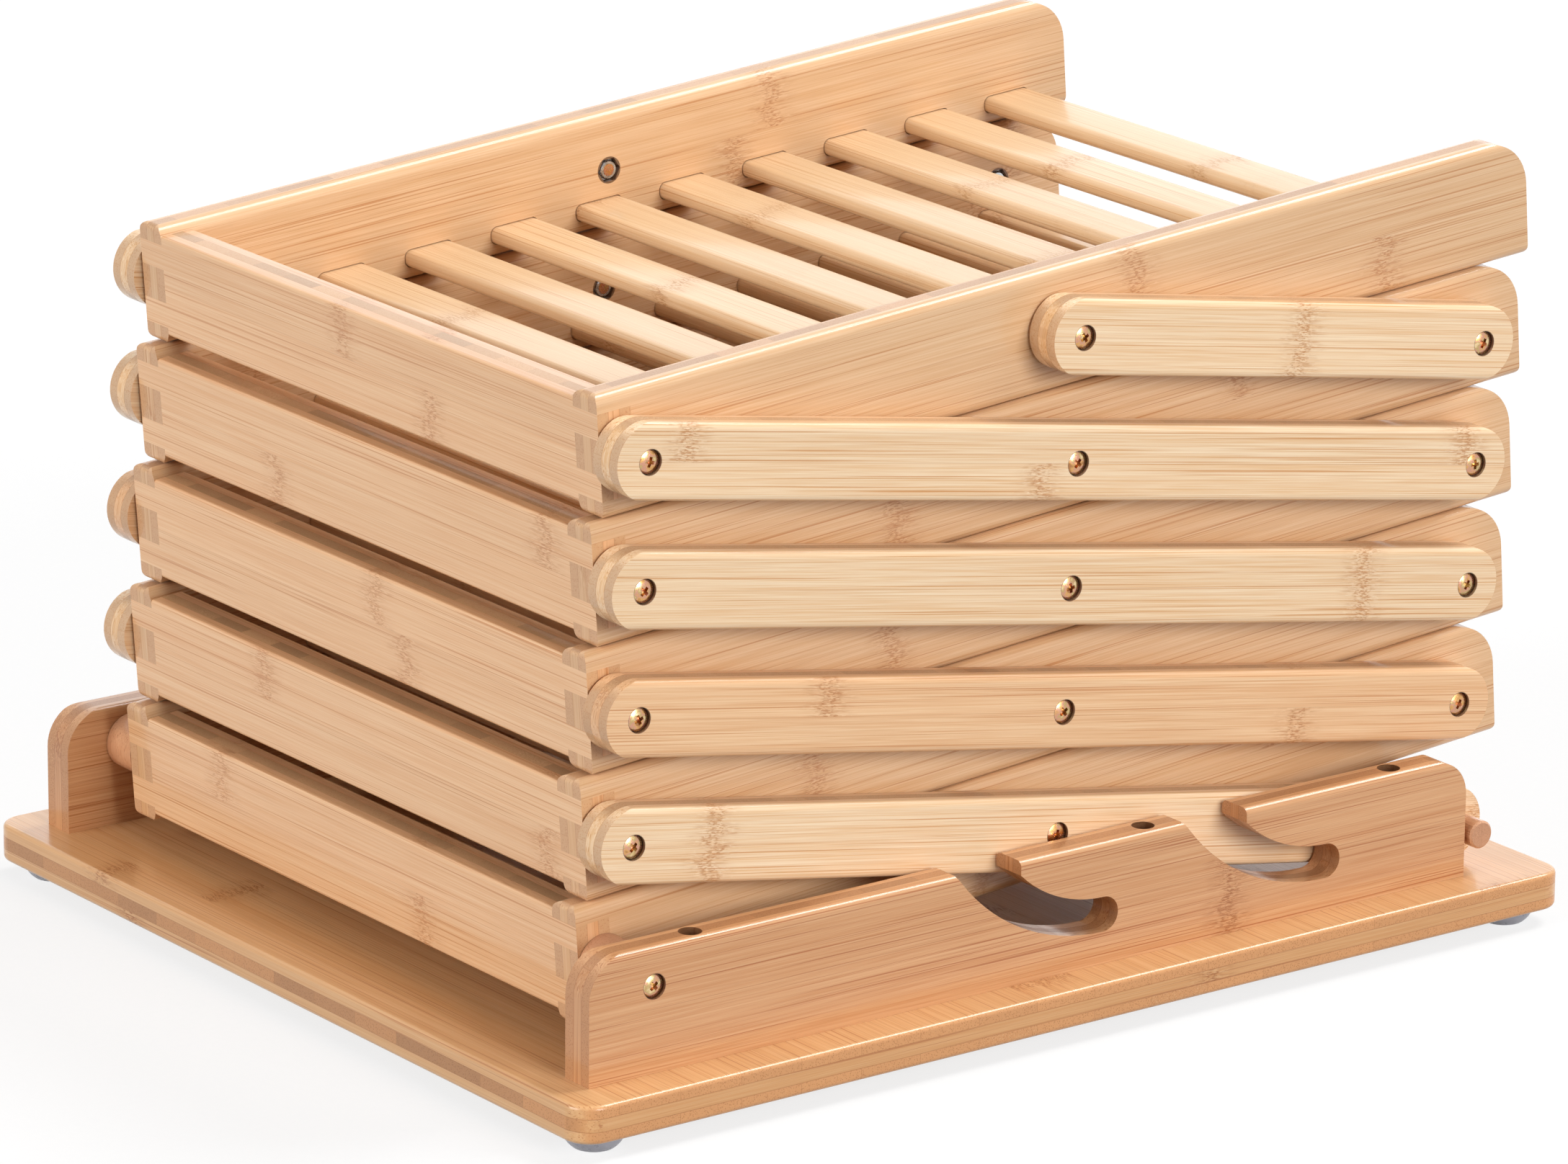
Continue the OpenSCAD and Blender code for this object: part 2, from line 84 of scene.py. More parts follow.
def linear(hex_colour: str) -> Colour:
    """Turns an sRGB hex colour into the linear one that shaders take.

    Args:
        hex_colour: Six hex digits after a hash sign.

    Returns:
        Linear red, green and blue, with an alpha of 1.
    """
    channels = [int(hex_colour[i:i + 2], 16) / 255 for i in (1, 3, 5)]
    toe, slope, lift, power = 0.04045, 12.92, 0.055, 2.4
    curve = [c / slope if c <= toe else ((c + lift) / (1 + lift)) ** power for c in channels]
    return (*curve, 1.0)


WHITE = linear("#FFFFFF")


class Tree:
    """A node tree, with short ways to add nodes together with their settings and links."""

    def __init__(self, tree: bpy.types.NodeTree) -> None:
        """Wraps an empty tree."""
        self.tree = tree

    @classmethod
    def group(cls, name: str, kind: str, inputs: dict[str, str], outputs: dict[str, str]) -> "Tree":
        """Makes a node group.

        Args:
            name: The group's name.
            kind: ShaderNodeTree or GeometryNodeTree.
            inputs: Socket type of each input without its prefix, by the input's name.
            outputs: The same for each output.

        Returns:
            The tree, with its input and output nodes in place.
        """
        group = cls(bpy.data.node_groups.new(name, kind))
        for way, sockets in (("INPUT", inputs), ("OUTPUT", outputs)):
            for label, socket in sockets.items():
                group.tree.interface.new_socket(label, in_out=way, socket_type="NodeSocket" + socket)
        group.source = group.add("NodeGroupInput").outputs
        group.sink = group.add("NodeGroupOutput")
        return group

    def add(self, kind: str, *values: Any, on: dict[str, Any] | None = None, **settings: Any) -> Node:
        """Adds a node, sets it up and links it.

        Args:
            kind: The node's type name.
            *values: What goes into the sockets in use, in their order. None leaves a socket alone.
            on: What goes into sockets that are named.
            **settings: The node's own properties.

        Returns:
            The new node. Given as a value in its turn, it stands for its first output in use.
        """
        node = self.tree.nodes.new(kind)
        for key, value in settings.items():
            setattr(node, key, value)
        sockets = [s for s in node.inputs if s.enabled]
        pairs = list(zip(sockets, values))
        pairs += [(next(s for s in sockets if s.name == key), value) for key, value in (on or {}).items()]
        for socket, value in pairs:
            for one in value if isinstance(value, list) else [value]:
                if isinstance(one, Node):
                    one = next(s for s in one.outputs if s.enabled)
                if isinstance(one, bpy.types.NodeSocket):
                    self.tree.links.new(one, socket)
                elif one is not None:
                    socket.default_value = one
        return node

    def finish(self, **results: Any) -> bpy.types.NodeTree:
        """Links a group's outputs.

        Args:
            **results: A node for each output, by the output's name.

        Returns:
            The finished node group.
        """
        for name, node in results.items():
            self.tree.links.new(next(s for s in node.outputs if s.enabled), self.sink.inputs[name])
        return self.tree

    def math(self, operation: str, *values: Any) -> Node:
        """Adds arithmetic on numbers."""
        return self.add("ShaderNodeMath", *values, operation=operation)

    def vector(self, operation: str, *values: Any) -> Node:
        """Adds arithmetic on vectors."""
        return self.add("ShaderNodeVectorMath", *values, operation=operation)

    def total(self, start: Any, *parts: tuple[Any, Any]) -> Any:
        """Adds values to a start.

        Args:
            start: The first value.
            *parts: Each further value with the share of it that counts.

        Returns:
            The node that gives the total, or the start if that is all.
        """
        for value, share in parts:
            start = self.math("MULTIPLY_ADD", value, share, start)
        return start

    def xyz(self, *values: Any) -> Node:
        """Joins numbers into a vector, in which those left out are 0."""
        return self.add("ShaderNodeCombineXYZ", *values)

    def split(self, vector: Any) -> bpy.types.NodeOutputs:
        """Takes a vector apart."""
        return self.add("ShaderNodeSeparateXYZ", vector).outputs

    def mix(self, share: Any, first: Any, second: Any, kind: str = "FLOAT", **settings: Any) -> Node:
        """Adds a mix of two values of one kind."""
        return self.add("ShaderNodeMix", share, first, second, data_type=kind, **settings)

    def layers(self, colour: Any, *covers: tuple[Any, Any]) -> Any:
        """Lays colours over a first one.

        Args:
            colour: The first one.
            *covers: Each mask with the colour that it lets through.

        Returns:
            The node that gives the colour on top.
        """
        for mask, cover in covers:
            colour = self.mix(mask, colour, cover, "RGBA")
        return colour

    def step(self, value: Any, low: float, high: float, top: float = 1.0) -> Node:
        """Adds a smooth step from 0 at low to top at high."""
        return self.add("ShaderNodeMapRange", value, low, high, 0.0, top, interpolation_type="SMOOTHSTEP")

    def noise(self, size: float, detail: float) -> Node:
        """Adds even noise over a piece.

        Args:
            size: Size of its grains in millimetres.
            detail: How finely they are broken up.

        Returns:
            The noise.
        """
        place = self.add("ShaderNodeTexCoord").outputs["Object"]
        return self.add("ShaderNodeTexNoise", on={"Vector": place, "Scale": 1 / (size * MM),
                                                  "Detail": detail})

    def surface(self, values: dict[str, Any]) -> None:
        """Ends a material with a principled shader, from the values of its sockets."""
        self.add("ShaderNodeOutputMaterial", self.add("ShaderNodeBsdfPrincipled", on=values))

    def moved(self, mesh: Any, place: Any, turn: Any = None) -> Node:
        """Adds a turn about the origin and a shift from there."""
        return self.add("GeometryNodeTransform", mesh, on={"Translation": place, "Rotation": turn})

    def raised(self, mesh: Any, height: Any) -> Node:
        """Adds a shift upwards."""
        return self.moved(mesh, self.xyz(0.0, 0.0, height))

    def cylinder(self, steps: int, radius: Any, height: Any, rings: int = 1) -> Node:
        """Adds a cylinder along Z, with as many segments round and rings up as are asked for."""
        return self.add("GeometryNodeMeshCylinder", steps, rings, 1, radius, height)

    def boolean(self, operation: str, *meshes: Any) -> Node:
        """Joins meshes, or cuts one by others."""
        return self.add("GeometryNodeMeshBoolean", *meshes, operation=operation, solver="EXACT")

    def smoothed(self, mesh: Any) -> Node:
        """Adds smooth shading that breaks at sharp edges.

        Args:
            mesh: The mesh to shade.

        Returns:
            The node that gives the shaded mesh.
        """
        angle = self.add("GeometryNodeInputMeshEdgeAngle").outputs["Unsigned Angle"]
        sharp = self.math("GREATER_THAN", angle, SHARP)
        smooth = self.add("GeometryNodeSetShadeSmooth", mesh, True, True, domain="FACE")
        return self.add("GeometryNodeSetShadeSmooth", smooth, sharp, False, domain="EDGE")

    def copies(self, points: Any, mesh: Any, turn: Any = None) -> Node:
        """Sets a copy of a mesh on each point."""
        return self.add("GeometryNodeInstanceOnPoints", points, on={"Instance": self.smoothed(mesh),
                                                                    "Rotation": turn})

    def station_turn(self) -> Node:
        """Adds the rotation that each point of a stations' mesh holds."""
        turn = self.add("GeometryNodeInputNamedAttribute", "turn", data_type="FLOAT_VECTOR")
        return self.add("FunctionNodeEulerToRotation", turn)

    def rounded_bar(self, width: Any, height: Any, radius: Any, half_span: Any, steps: int) -> Node:
        """Adds a bar along X with rounded edges.

        Args:
            width: Its size along Y.
            height: Its size along Z.
            radius: Radius of its edges.
            half_span: Half its length.
            steps: Segments of each rounded edge.

        Returns:
            The node that gives the bar.
        """
        section = self.add("GeometryNodeCurvePrimitiveQuadrilateral", width, height)
        section = self.add("GeometryNodeFilletCurve", section, steps, on={"Radius": radius}, mode="POLY")
        left = self.xyz(self.math("MULTIPLY", half_span, -1.0))
        run = self.add("GeometryNodeCurvePrimitiveLine", left, self.xyz(half_span))
        return self.add("GeometryNodeCurveToMesh", run, section, on={"Fill Caps": True})


def new_material(name: str) -> tuple[Material, Tree]:
    """Makes an empty node material.

    Args:
        name: The finish's name.

    Returns:
        The material and its tree.
    """
    material = bpy.data.materials.new(name)
    material.use_nodes = True
    material.node_tree.nodes.clear()
    return material, Tree(material.node_tree)


def new_object(name: str, data: Any) -> Piece:
    """Makes an object and puts it in the scene.

    Args:
        name: The object's name.
        data: Its mesh, lamp or camera.

    Returns:
        The object.
    """
    made = bpy.data.objects.new(name, data)
    bpy.context.scene.collection.objects.link(made)
    return made


def dress(node: str, material: Material) -> None:
    """Gives one solid of the frame its finish.

    Args:
        node: The solid's name.
        material: What it is finished with.
    """
    slots = frame["nodes"][node].data.materials
    slots.clear()
    slots.append(material)
    LOG.info("%s: %s", node, material.name)


@dataclass(frozen=True)
class Role:
    """What a piece is called, what it moves with, and the frame's node that it stands for."""

    name: str
    body: str
    replaced: str
    slot: str

    def give(self, piece: Piece) -> Piece:
        """Gives a piece its role.

        Args:
            piece: The finished piece.

        Returns:
            The same piece.
        """
        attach(piece, self.body)
        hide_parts(self.replaced)
        return piece


@dataclass(frozen=True)
class Linkage:
    """Pivots of the folded stand, read from the frame's joints."""

    fronts: tuple[Vector, ...]
    middles: tuple[Vector, ...]

    @classmethod
    def from_joints(cls, joints: Iterable[dict]) -> "Linkage":
        """Reads the pivots.

        Args:
            joints: The frame's joints.

        Returns:
            The linkage, with trays and links in order from the bottom.
        """
        places = {joint["name"]: Vector(joint["pos_m"]) for joint in joints}
        fronts = [places["unfold"]] + [places[f"tray_{k}_turn"] for k in range(2, TRAYS + 1)]
        middles = [places[f"links_{k}_turn"] for k in range(1, TRAYS + 1)]
        return cls(tuple(fronts), tuple(middles))

    @property
    def tray_along(self) -> Vector:
        """Direction of the trays, towards the rear."""
        return (self.middles[0] - self.fronts[0]).normalized()

    @property
    def link_along(self) -> Vector:
        """Direction of the links, towards the rear."""
        return (self.middles[0] - self.fronts[1]).normalized()

    def rear(self, k: int) -> Vector:
        """Rear pivot of tray k."""
        return 2 * self.middles[k - 1] - self.fronts[k - 1]

    def rod(self) -> Vector:
        """Middle of the support rod, at the rear of the lowest links."""
        return 2 * self.middles[0] - self.fronts[1]


@dataclass(frozen=True)
class BoardAxes:
    """A board's own frame: its middle, its length and its height."""

    middle: Vector
    along: Vector
    up: Vector

    def coordinates(self, tree: Tree) -> tuple[Node, Node]:
        """Adds the board's own coordinates to a material.

        Args:
            tree: The material's tree.

        Returns:
            The place on the board in millimetres, and the face's direction, both along, up and across it.
        """
        turn = Matrix((self.along, self.up, self.along.cross(self.up)))
        euler = turn.to_euler("XYZ")
        source = tree.add("ShaderNodeTexCoord").outputs
        scale = (1 / MM,) * 3
        place = tree.add("ShaderNodeMapping", source["Object"], -(turn @ self.middle) / MM, euler, scale)
        facing = tree.add("ShaderNodeMapping", source["Normal"], None, euler)
        return place, facing


class Drilled(Enum):
    """Which way a hole is drilled, as the two directions of the board that it is round in."""

    ACROSS = (1.0, 1.0, 0.0)
    DOWN = (1.0, 0.0, 1.0)


@dataclass(frozen=True)
class Bore:
    """A hole in a board, at a place along and up it, in millimetres."""

    along: float
    up: float
    radius: float
    direction: Drilled = Drilled.ACROSS


class Plies(Enum):
    """How a piece is laminated: half the thickness of its middle ply, in millimetres."""

    THREE = 2.0
    SINGLE = 0.0


@dataclass(frozen=True)
class BambooTone:
    """Colours of one kind of bamboo board under its clear lacquer, and how far its end grain varies."""

    pale: str
    stripe: str
    line: str
    knuckle: str
    end: str
    spread: float = 0.2


FRONT_TONE = BambooTone("#EFC599", "#DEA674", "#C88854", "#C08354", "#D0A377", 0.36)
SIDE_TONE = BambooTone("#E4BF97", "#D2A272", "#BF8452", "#B57B4D", "#CC9E76", 0.3)
LINK_TONE = BambooTone("#F9DFBC", "#E4B47F", "#CD8E50", "#BD7F48", "#CAA27C")
# Darker, warmer colours than the other links, given to the second pair of links
WARM_LINK_TONE = BambooTone("#F1CA9F", "#DBA370", "#C4834D", "#B67743", "#C1966F")
CHEEK_TONE = BambooTone("#D9A87B", "#C28655", "#A66236", "#995C31", "#BA855A")
BASE_TONE = BambooTone("#DEB07E", "#CE9660", "#B27343", "#9E602F", "#D0935E", 0.42)
SLAT_TONE = BambooTone("#EBCAA2", "#DCB180", "#C9925F", "#B8804E", "#CDA381")
DOWEL_TONE = BambooTone("#DDA880", "#CD9066", "#B5764E", "#A66D46", "#BD8A68")


@dataclass(frozen=True)
class Streaks:
    """Texture drawn out along the grain, by the size of its grains in millimetres.

    Where it is used as a mask, it starts to show at low, and shows up to top from high on. Its share is
    how far it tints or shades what it lies on.
    """

    length: float
    width: float
    low: float = 0.0
    high: float = 1.0
    top: float = 1.0
    detail: float = 2.0
    share: float = 1.0
    kind: str = "ShaderNodeTexNoise"


@dataclass(frozen=True)
class LaminatedBamboo:
    """Strips of bamboo glued into boards of one or three plies, under a clear satin lacquer.

    The outer plies run along the board and the middle one across it, so an edge shows long grain beside
    the stippled ends of the other ply's strips. Long grain is finely striped by the fibre bundles, and
    each strip has a mottled knuckle at every joint of the cane.
    """

    stripes: Streaks = Streaks(300.0, 2.4, 0.34, 0.68, share=0.25)
    fibres: Streaks = Streaks(70.0, 0.55, 0.36, 0.64, share=0.3)
    hairs: Streaks = Streaks(26.0, 0.32, 0.36, 0.64, share=0.3)
    lines: Streaks = Streaks(130.0, 0.5, 0.60, 0.70, 0.8, 1.0)
    bundles: Streaks = Streaks(45.0, 0.66, 0.42, 0.16, detail=0.0, kind="ShaderNodeTexVoronoi")
    mottle: Streaks = Streaks(1.7, 0.42, 0.44, 0.60, 0.8, 3.0)
    dashes: Streaks = Streaks(8.0, 0.5, 0.50, 0.66, 0.5)
    specks: Streaks = Streaks(2.6, 0.4, 0.54, 0.68, 0.6)
    waves: Streaks = Streaks(60.0, 5.0)
    drift: Streaks = Streaks(110.0, 30.0, detail=1.0, share=0.08)
    end_facing: tuple[float, float] = (0.55, 0.9)
    end_share: float = 0.85
    core_tint: float = 0.3
    stipple: tuple[float, float] = (0.08, 0.5)
    shade_least: float = 0.95
    shade_reach: float = 0.06
    end_most: float = 0.96
    scatter: float = 700.0
    core_layer: float = 3.0
    knuckle_pitch: float = 300.0
    knuckle_wave: float = 14.0
    ridge: tuple[float, float] = (5.44, 1.6)
    wings: tuple[float, float] = (12.0, 3.2)
    dash_floor: float = 0.1
    glue: tuple[float, float] = (0.176, 0.066)
    seam_share: float = 0.5
    joint_share: float = 0.28
    relief: float = 0.05
    fibre_sinks: float = 0.25
    stipple_sinks: float = 0.5
    glue_sinks: float = 0.5
    knuckle_rises: float = 0.7
    lacquer_roughness: float = 0.3
    fibre_dulls: float = 0.06
    end_dulls: float = 0.14
    knuckle_dulls: float = 0.15
    coat: float = 0.5
    coat_roughness: float = 0.13
    index: float = 1.5
    specular: float = 0.3
    # Colour and share of the painted shade on the walls of holes, which darkens the gaps round screw heads
    # and nuts as their shadow would
    scorch: str = "#4A2614"
    bore_shade_share: float = 0.8
    wall_depth: tuple[float, float] = (0.22, 0.06)

    def group(self) -> bpy.types.NodeTree:
        """Builds the node group that all bamboo pieces share, or finds it.

        Returns:
            The group. Its coordinates are millimetres along, up and across the board.
        """
        name = "laminated bamboo"
        if name in bpy.data.node_groups:
            return bpy.data.node_groups[name]
        vectors = dict.fromkeys(("Place", "Facing"), "Vector")
        numbers = dict.fromkeys(("Seed", "Middle Ply", "Strip", "Knuckle Low", "Knuckle High", "Scatter",
                                 "Spread", "Scorch"), "Float")
        colours = dict.fromkeys(("Pale", "Stripe", "Line", "Knuckle", "End"), "Color")
        t = Tree.group(name, "ShaderNodeTree", vectors | numbers | colours,
                       {"Colour": "Color", "Roughness": "Float", "Relief": "Float"})
        src = t.source
        place, facing = t.split(src["Place"]), t.split(src["Facing"])
        depth = t.math("ABSOLUTE", place["Z"])
        core = t.math("LESS_THAN", depth, src["Middle Ply"])

        # Coordinates along and across the grain of the ply in question
        crossed = t.xyz(place["Y"], place["X"], place["Z"])
        grain = t.mix(core, src["Place"], crossed, "VECTOR")
        axis = t.split(grain)
        end = t.step(t.math("ABSOLUTE", t.mix(core, facing["X"], facing["Y"])), *self.end_facing)
        end_part = t.math("MULTIPLY", end, self.end_share)

        # Strips of each ply, each with its own random numbers
        strip = t.math("DIVIDE", axis["Y"], src["Strip"])
        index = t.math("FLOOR", strip)
        layer = t.mix(core, t.math("SIGN", place["Z"]), self.core_layer)
        dice = t.add("ShaderNodeTexWhiteNoise", t.xyz(index, layer, src["Seed"]),
                     noise_dimensions="3D").outputs["Color"]
        chance = t.split(dice)
        shifted = t.vector("ADD", grain, t.vector("MULTIPLY", dice, (self.scatter,) * 3))

        def texture(streaks: Streaks) -> Node:
            """Adds the texture of some streaks.

            Args:
                streaks: What they look like.

            Returns:
                The texture.
            """
            fine = (1 / streaks.length, 1 / streaks.width, 1 / streaks.width)
            return t.add(streaks.kind, on={"Vector": t.vector("MULTIPLY", shifted, fine), "Scale": 1.0,
                                           "Detail": streaks.detail})

        def shown(streaks: Streaks) -> Node:
            """Adds the mask of some streaks."""
            return t.step(texture(streaks), streaks.low, streaks.high, streaks.top)

        # Long grain is striped. The fibre bundles end in dots on end grain, and in short dashes beside it
        fibre = shown(self.fibres)
        tone = t.total(t.math("MULTIPLY", core, self.core_tint), (fibre, self.fibres.share),
                       (shown(self.hairs), self.hairs.share), (shown(self.stripes), self.stripes.share))
        stipple = t.math("MULTIPLY", shown(self.bundles), t.mix(end, *self.stipple))

        # Knuckles: a mottled band across each strip
        spot = t.mix(t.math("FLOORED_MODULO", index, 2.0), src["Knuckle High"], src["Knuckle Low"])
        loose = t.math("MULTIPLY", t.math("MAXIMUM", core, src["Scatter"]), chance["Y"])
        away = t.math("SUBTRACT", axis["X"], t.total(spot, (loose, self.knuckle_pitch)))
        away = t.total(away, (texture(self.waves), self.knuckle_wave))
        away = t.math("WRAP", away, self.knuckle_pitch / 2, -self.knuckle_pitch / 2)
        away = t.math("ABSOLUTE", t.math("SUBTRACT", away, self.knuckle_wave / 2))
        wings = t.step(away, *self.wings)
        mottle = t.math("MULTIPLY", shown(self.mottle), t.step(away, *self.ridge))
        dashes = t.math("MULTIPLY", t.math("ADD", shown(self.dashes), self.dash_floor), wings)
        patch = t.math("MULTIPLY", t.math("MAXIMUM", mottle, dashes), t.math("SUBTRACT", 1.0, end_part))
        specks = t.math("MULTIPLY", shown(self.specks), wings)

        # Strips differ in shade, most of all on end grain, and each drifts a little along its length
        varied = t.math("MULTIPLY", core, end_part)
        least = t.mix(varied, self.shade_least, t.math("SUBTRACT", self.end_most, src["Spread"]))
        reach = t.mix(varied, self.shade_reach, src["Spread"])
        shade = t.total(least, (chance["Z"], reach), (texture(self.drift), self.drift.share))

        # Glue lines between plies and between strips
        seam = t.math("ABSOLUTE", t.math("SUBTRACT", depth, src["Middle Ply"]))
        seam = t.math("MULTIPLY", t.step(seam, *self.glue, self.seam_share),
                      t.math("GREATER_THAN", src["Middle Ply"], 0.0))
        beside = t.math("MULTIPLY", t.math("PINGPONG", strip, 0.5), src["Strip"])
        glue = t.math("MAXIMUM", seam, t.step(beside, *self.glue, self.joint_share))

        colour = t.layers(src["Pale"], (tone, src["Stripe"]), (shown(self.lines), src["Line"]),
                          (end_part, src["End"]), (stipple, src["Knuckle"]), (patch, src["Knuckle"]),
                          (specks, src["Pale"]))
        colour = t.mix(1.0, colour, t.xyz(shade, shade, shade), "RGBA", blend_type="MULTIPLY")
        # Painted shade on the walls of holes, where the gaps round heads and nuts lie in shadow
        colour = t.layers(colour, (glue, src["Knuckle"]), (src["Scorch"], linear(self.scorch)))

        # The lacquer sinks a little into end grain and knuckles
        rough = t.total(self.lacquer_roughness, (end, self.end_dulls), (fibre, self.fibre_dulls),
                        (patch, self.knuckle_dulls))
        relief = t.total(t.math("MULTIPLY", fibre, -self.fibre_sinks), (stipple, -self.stipple_sinks),
                         (patch, self.knuckle_rises), (glue, -self.glue_sinks))
        return t.finish(Colour=colour, Roughness=rough, Relief=relief)

    def bore_shade_mask(self, t: Tree, place: Node, bores: Sequence[Bore]) -> Any:
        """Adds a mask of painted shade on the walls of a board's holes and just round them, where the gaps
        round heads and nuts lie in shadow.

        Args:
            t: The material's tree.
            place: The place on the board in millimetres.
            bores: The holes.

        Returns:
            The mask, or 0 where the board has no holes.
        """
        mask: Any = 0.0
        for bore in bores:
            flat = t.vector("MULTIPLY", place, bore.direction.value)
            away = t.vector("DISTANCE", flat, (bore.along, bore.up, 0.0)).outputs["Value"]
            outer, inner = (bore.radius + depth for depth in self.wall_depth)
            one = t.add("ShaderNodeMapRange", away, outer, inner, 0.0, self.bore_shade_share)
            mask = one if mask == 0.0 else t.math("MAXIMUM", mask, one)
        return mask

    def material(self, name: str, axes: BoardAxes, tone: BambooTone, strip: float, seed: float,
                 plies: Plies = Plies.THREE, knuckles: tuple[float, float] | None = None,
                 bores: Sequence[Bore] = (), seed_name: str | None = None) -> Material:
        """Makes the finish of one board.

        Args:
            name: The board's name.
            axes: The board's own frame.
            tone: Its colours.
            strip: Width of its strips in millimetres.
            seed: Any number, to make its grain its own.
            plies: How it is laminated.
            knuckles: Places of a knuckle along the board, in its lower and upper strips, or None for
                places left to chance.
            bores: The board's holes, whose walls get painted shade.
            seed_name: Attribute that holds the seeds of a mesh of several pieces.

        Returns:
            The material.
        """
        material, t = new_material("bamboo_" + name)
        place, facing = axes.coordinates(t)
        low, high = knuckles or (0.0, 0.0)
        # One input holds the mask of painted shade on the walls of the board's holes
        values = {"Place": place, "Facing": facing, "Seed": seed, "Middle Ply": plies.value, "Strip": strip,
                  "Knuckle Low": low, "Knuckle High": high, "Scatter": 0.0 if knuckles else 1.0,
                  "Spread": tone.spread, "Scorch": self.bore_shade_mask(t, place, bores)}
        for key in ("pale", "stripe", "line", "knuckle", "end"):
            values[key.title()] = linear(getattr(tone, key))
        if seed_name:
            values["Seed"] = t.add("ShaderNodeAttribute", attribute_name=seed_name).outputs["Fac"]
        shared = t.add("ShaderNodeGroup", on=values, node_tree=self.group()).outputs
        bump = t.add("ShaderNodeBump", on={"Strength": 1.0, "Distance": self.relief * MM,
                                           "Height": shared["Relief"]})
        t.surface({"Base Color": shared["Colour"], "Roughness": shared["Roughness"], "Normal": bump,
                   "IOR": self.index, "Specular IOR Level": self.specular, "Coat Weight": self.coat,
                   "Coat IOR": self.index, "Coat Roughness": self.coat_roughness})
        return material


class Passivation(Enum):
    """Colours of the two zinc platings, from their shadows to their lights."""

    YELLOW = ("#AE7B52", "#D8A668", "#D09A84", "#C2A670", "#E9CDA0")
    CLEAR = ("#A6A8AA", "#C2C4C5", "#D2D3D3", "#B7BABD", "#E0E0DE")


@dataclass(frozen=True)
class ZincPlate:
    """Bright zinc plating on steel. Passivated yellow, it shifts between gold, rose and green."""

    patch: float = 2.6
    patch_detail: float = 1.5
    pit: float = 0.35
    pit_detail: float = 2.0
    pit_depth: float = 0.02
    pit_share: float = 0.3
    roughness: tuple[float, float] = (0.18, 0.34)

    def material(self, passivation: Passivation) -> Material:
        """Makes the plating, or finds it.

        Args:
            passivation: Which colours it has.

        Returns:
            The material.
        """
        name = passivation.name.lower() + "_zinc_plate"
        if name in bpy.data.materials:
            return bpy.data.materials[name]
        material, t = new_material(name)
        ramp = t.add("ShaderNodeValToRGB", t.noise(self.patch, self.patch_detail))
        stops = ramp.color_ramp.elements
        colours = passivation.value
        low, high = NOISE_SPAN
        while len(stops) < len(colours):
            stops.new(high)
        for i, shade in enumerate(colours):
            stops[i].position = low + (high - low) * i / (len(colours) - 1)
            stops[i].color = linear(shade)
        pits = t.noise(self.pit, self.pit_detail)
        rough = t.add("ShaderNodeMapRange", pits, *NOISE_SPAN, *self.roughness)
        bump = t.add("ShaderNodeBump", on={"Strength": self.pit_share, "Distance": self.pit_depth * MM,
                                           "Height": pits})
        t.surface({"Base Color": ramp, "Metallic": 1.0, "Roughness": rough, "Normal": bump})
        return material


@dataclass(frozen=True)
class ClearBumper:
    """Moulded soft polyurethane bumper: a cloudy, faintly cool clear, dulled where it is handled."""

    cloud: float = 3.0
    cloud_detail: float = 3.0
    roughness: tuple[float, float] = (0.24, 0.42)
    index: float = 1.49
    clearness: float = 0.3
    dark: str = "#AEADBB"
    light: str = "#D2D1DA"

    def material(self) -> Material:
        """Makes the moulding's finish.

        Returns:
            The material.
        """
        material, t = new_material("clear_polyurethane")
        cloud = t.noise(self.cloud, self.cloud_detail)
        rough = t.add("ShaderNodeMapRange", cloud, *NOISE_SPAN, *self.roughness)
        t.surface({"Base Color": t.layers(linear(self.dark), (cloud, linear(self.light))),
                   "Roughness": rough, "IOR": self.index, "Transmission Weight": self.clearness})
        return material


def stations_mesh(places: Sequence[tuple[Vector, int]], along: Vector) -> bpy.types.Mesh:
    """Makes a mesh of loose points, one where each fastener goes.

    Args:
        places: Point and side, RIGHT or LEFT, that each fastener's face looks to.
        along: Direction of the board that it sits in.

    Returns:
        The mesh. Its attribute "turn" holds each fastener's rotation, as an Euler.
    """
    mesh = bpy.data.meshes.new("stations")
    mesh.from_pydata([tuple(point) for point, _ in places], [], [])
    turns = mesh.attributes.new("turn", "FLOAT_VECTOR", "POINT")
    for i, (_, side) in enumerate(places):
        out = X_AXIS * side
        basis = Matrix((along, out.cross(along), out)).transposed()
        turns.data[i].vector = basis.to_euler("XYZ")
    return mesh


def sizes(part: Any, *names: str) -> dict[str, Any]:
    """Reads sizes of a part, by name, and turns them from millimetres into metres."""
    return {name: getattr(part, name) * MM for name in names}


def geometry_tree(name: str, fill: Callable[[Tree], Node], values: dict[str, Any]) -> bpy.types.NodeTree:
    """Builds a geometry tree, or finds it.

    Args:
        name: The tree's name.
        fill: Adds its nodes, and returns the one whose geometry gets the material.
        values: Values of its inputs, by name. One of them is the material.

    Returns:
        The tree, with an input for each value.
    """
    if name in bpy.data.node_groups:
        return bpy.data.node_groups[name]
    kinds = {float: "Float", int: "Int", Vector: "Vector", Material: "Material"}
    inputs = {key: next(kind for of, kind in kinds.items() if isinstance(value, of))
              for key, value in values.items()}
    t = Tree.group(name, "GeometryNodeTree", {"Geometry": "Geometry"} | inputs, {"Geometry": "Geometry"})
    real = t.add("GeometryNodeRealizeInstances", fill(t))
    return t.finish(Geometry=t.add("GeometryNodeSetMaterial", real, None, t.source["material"]))


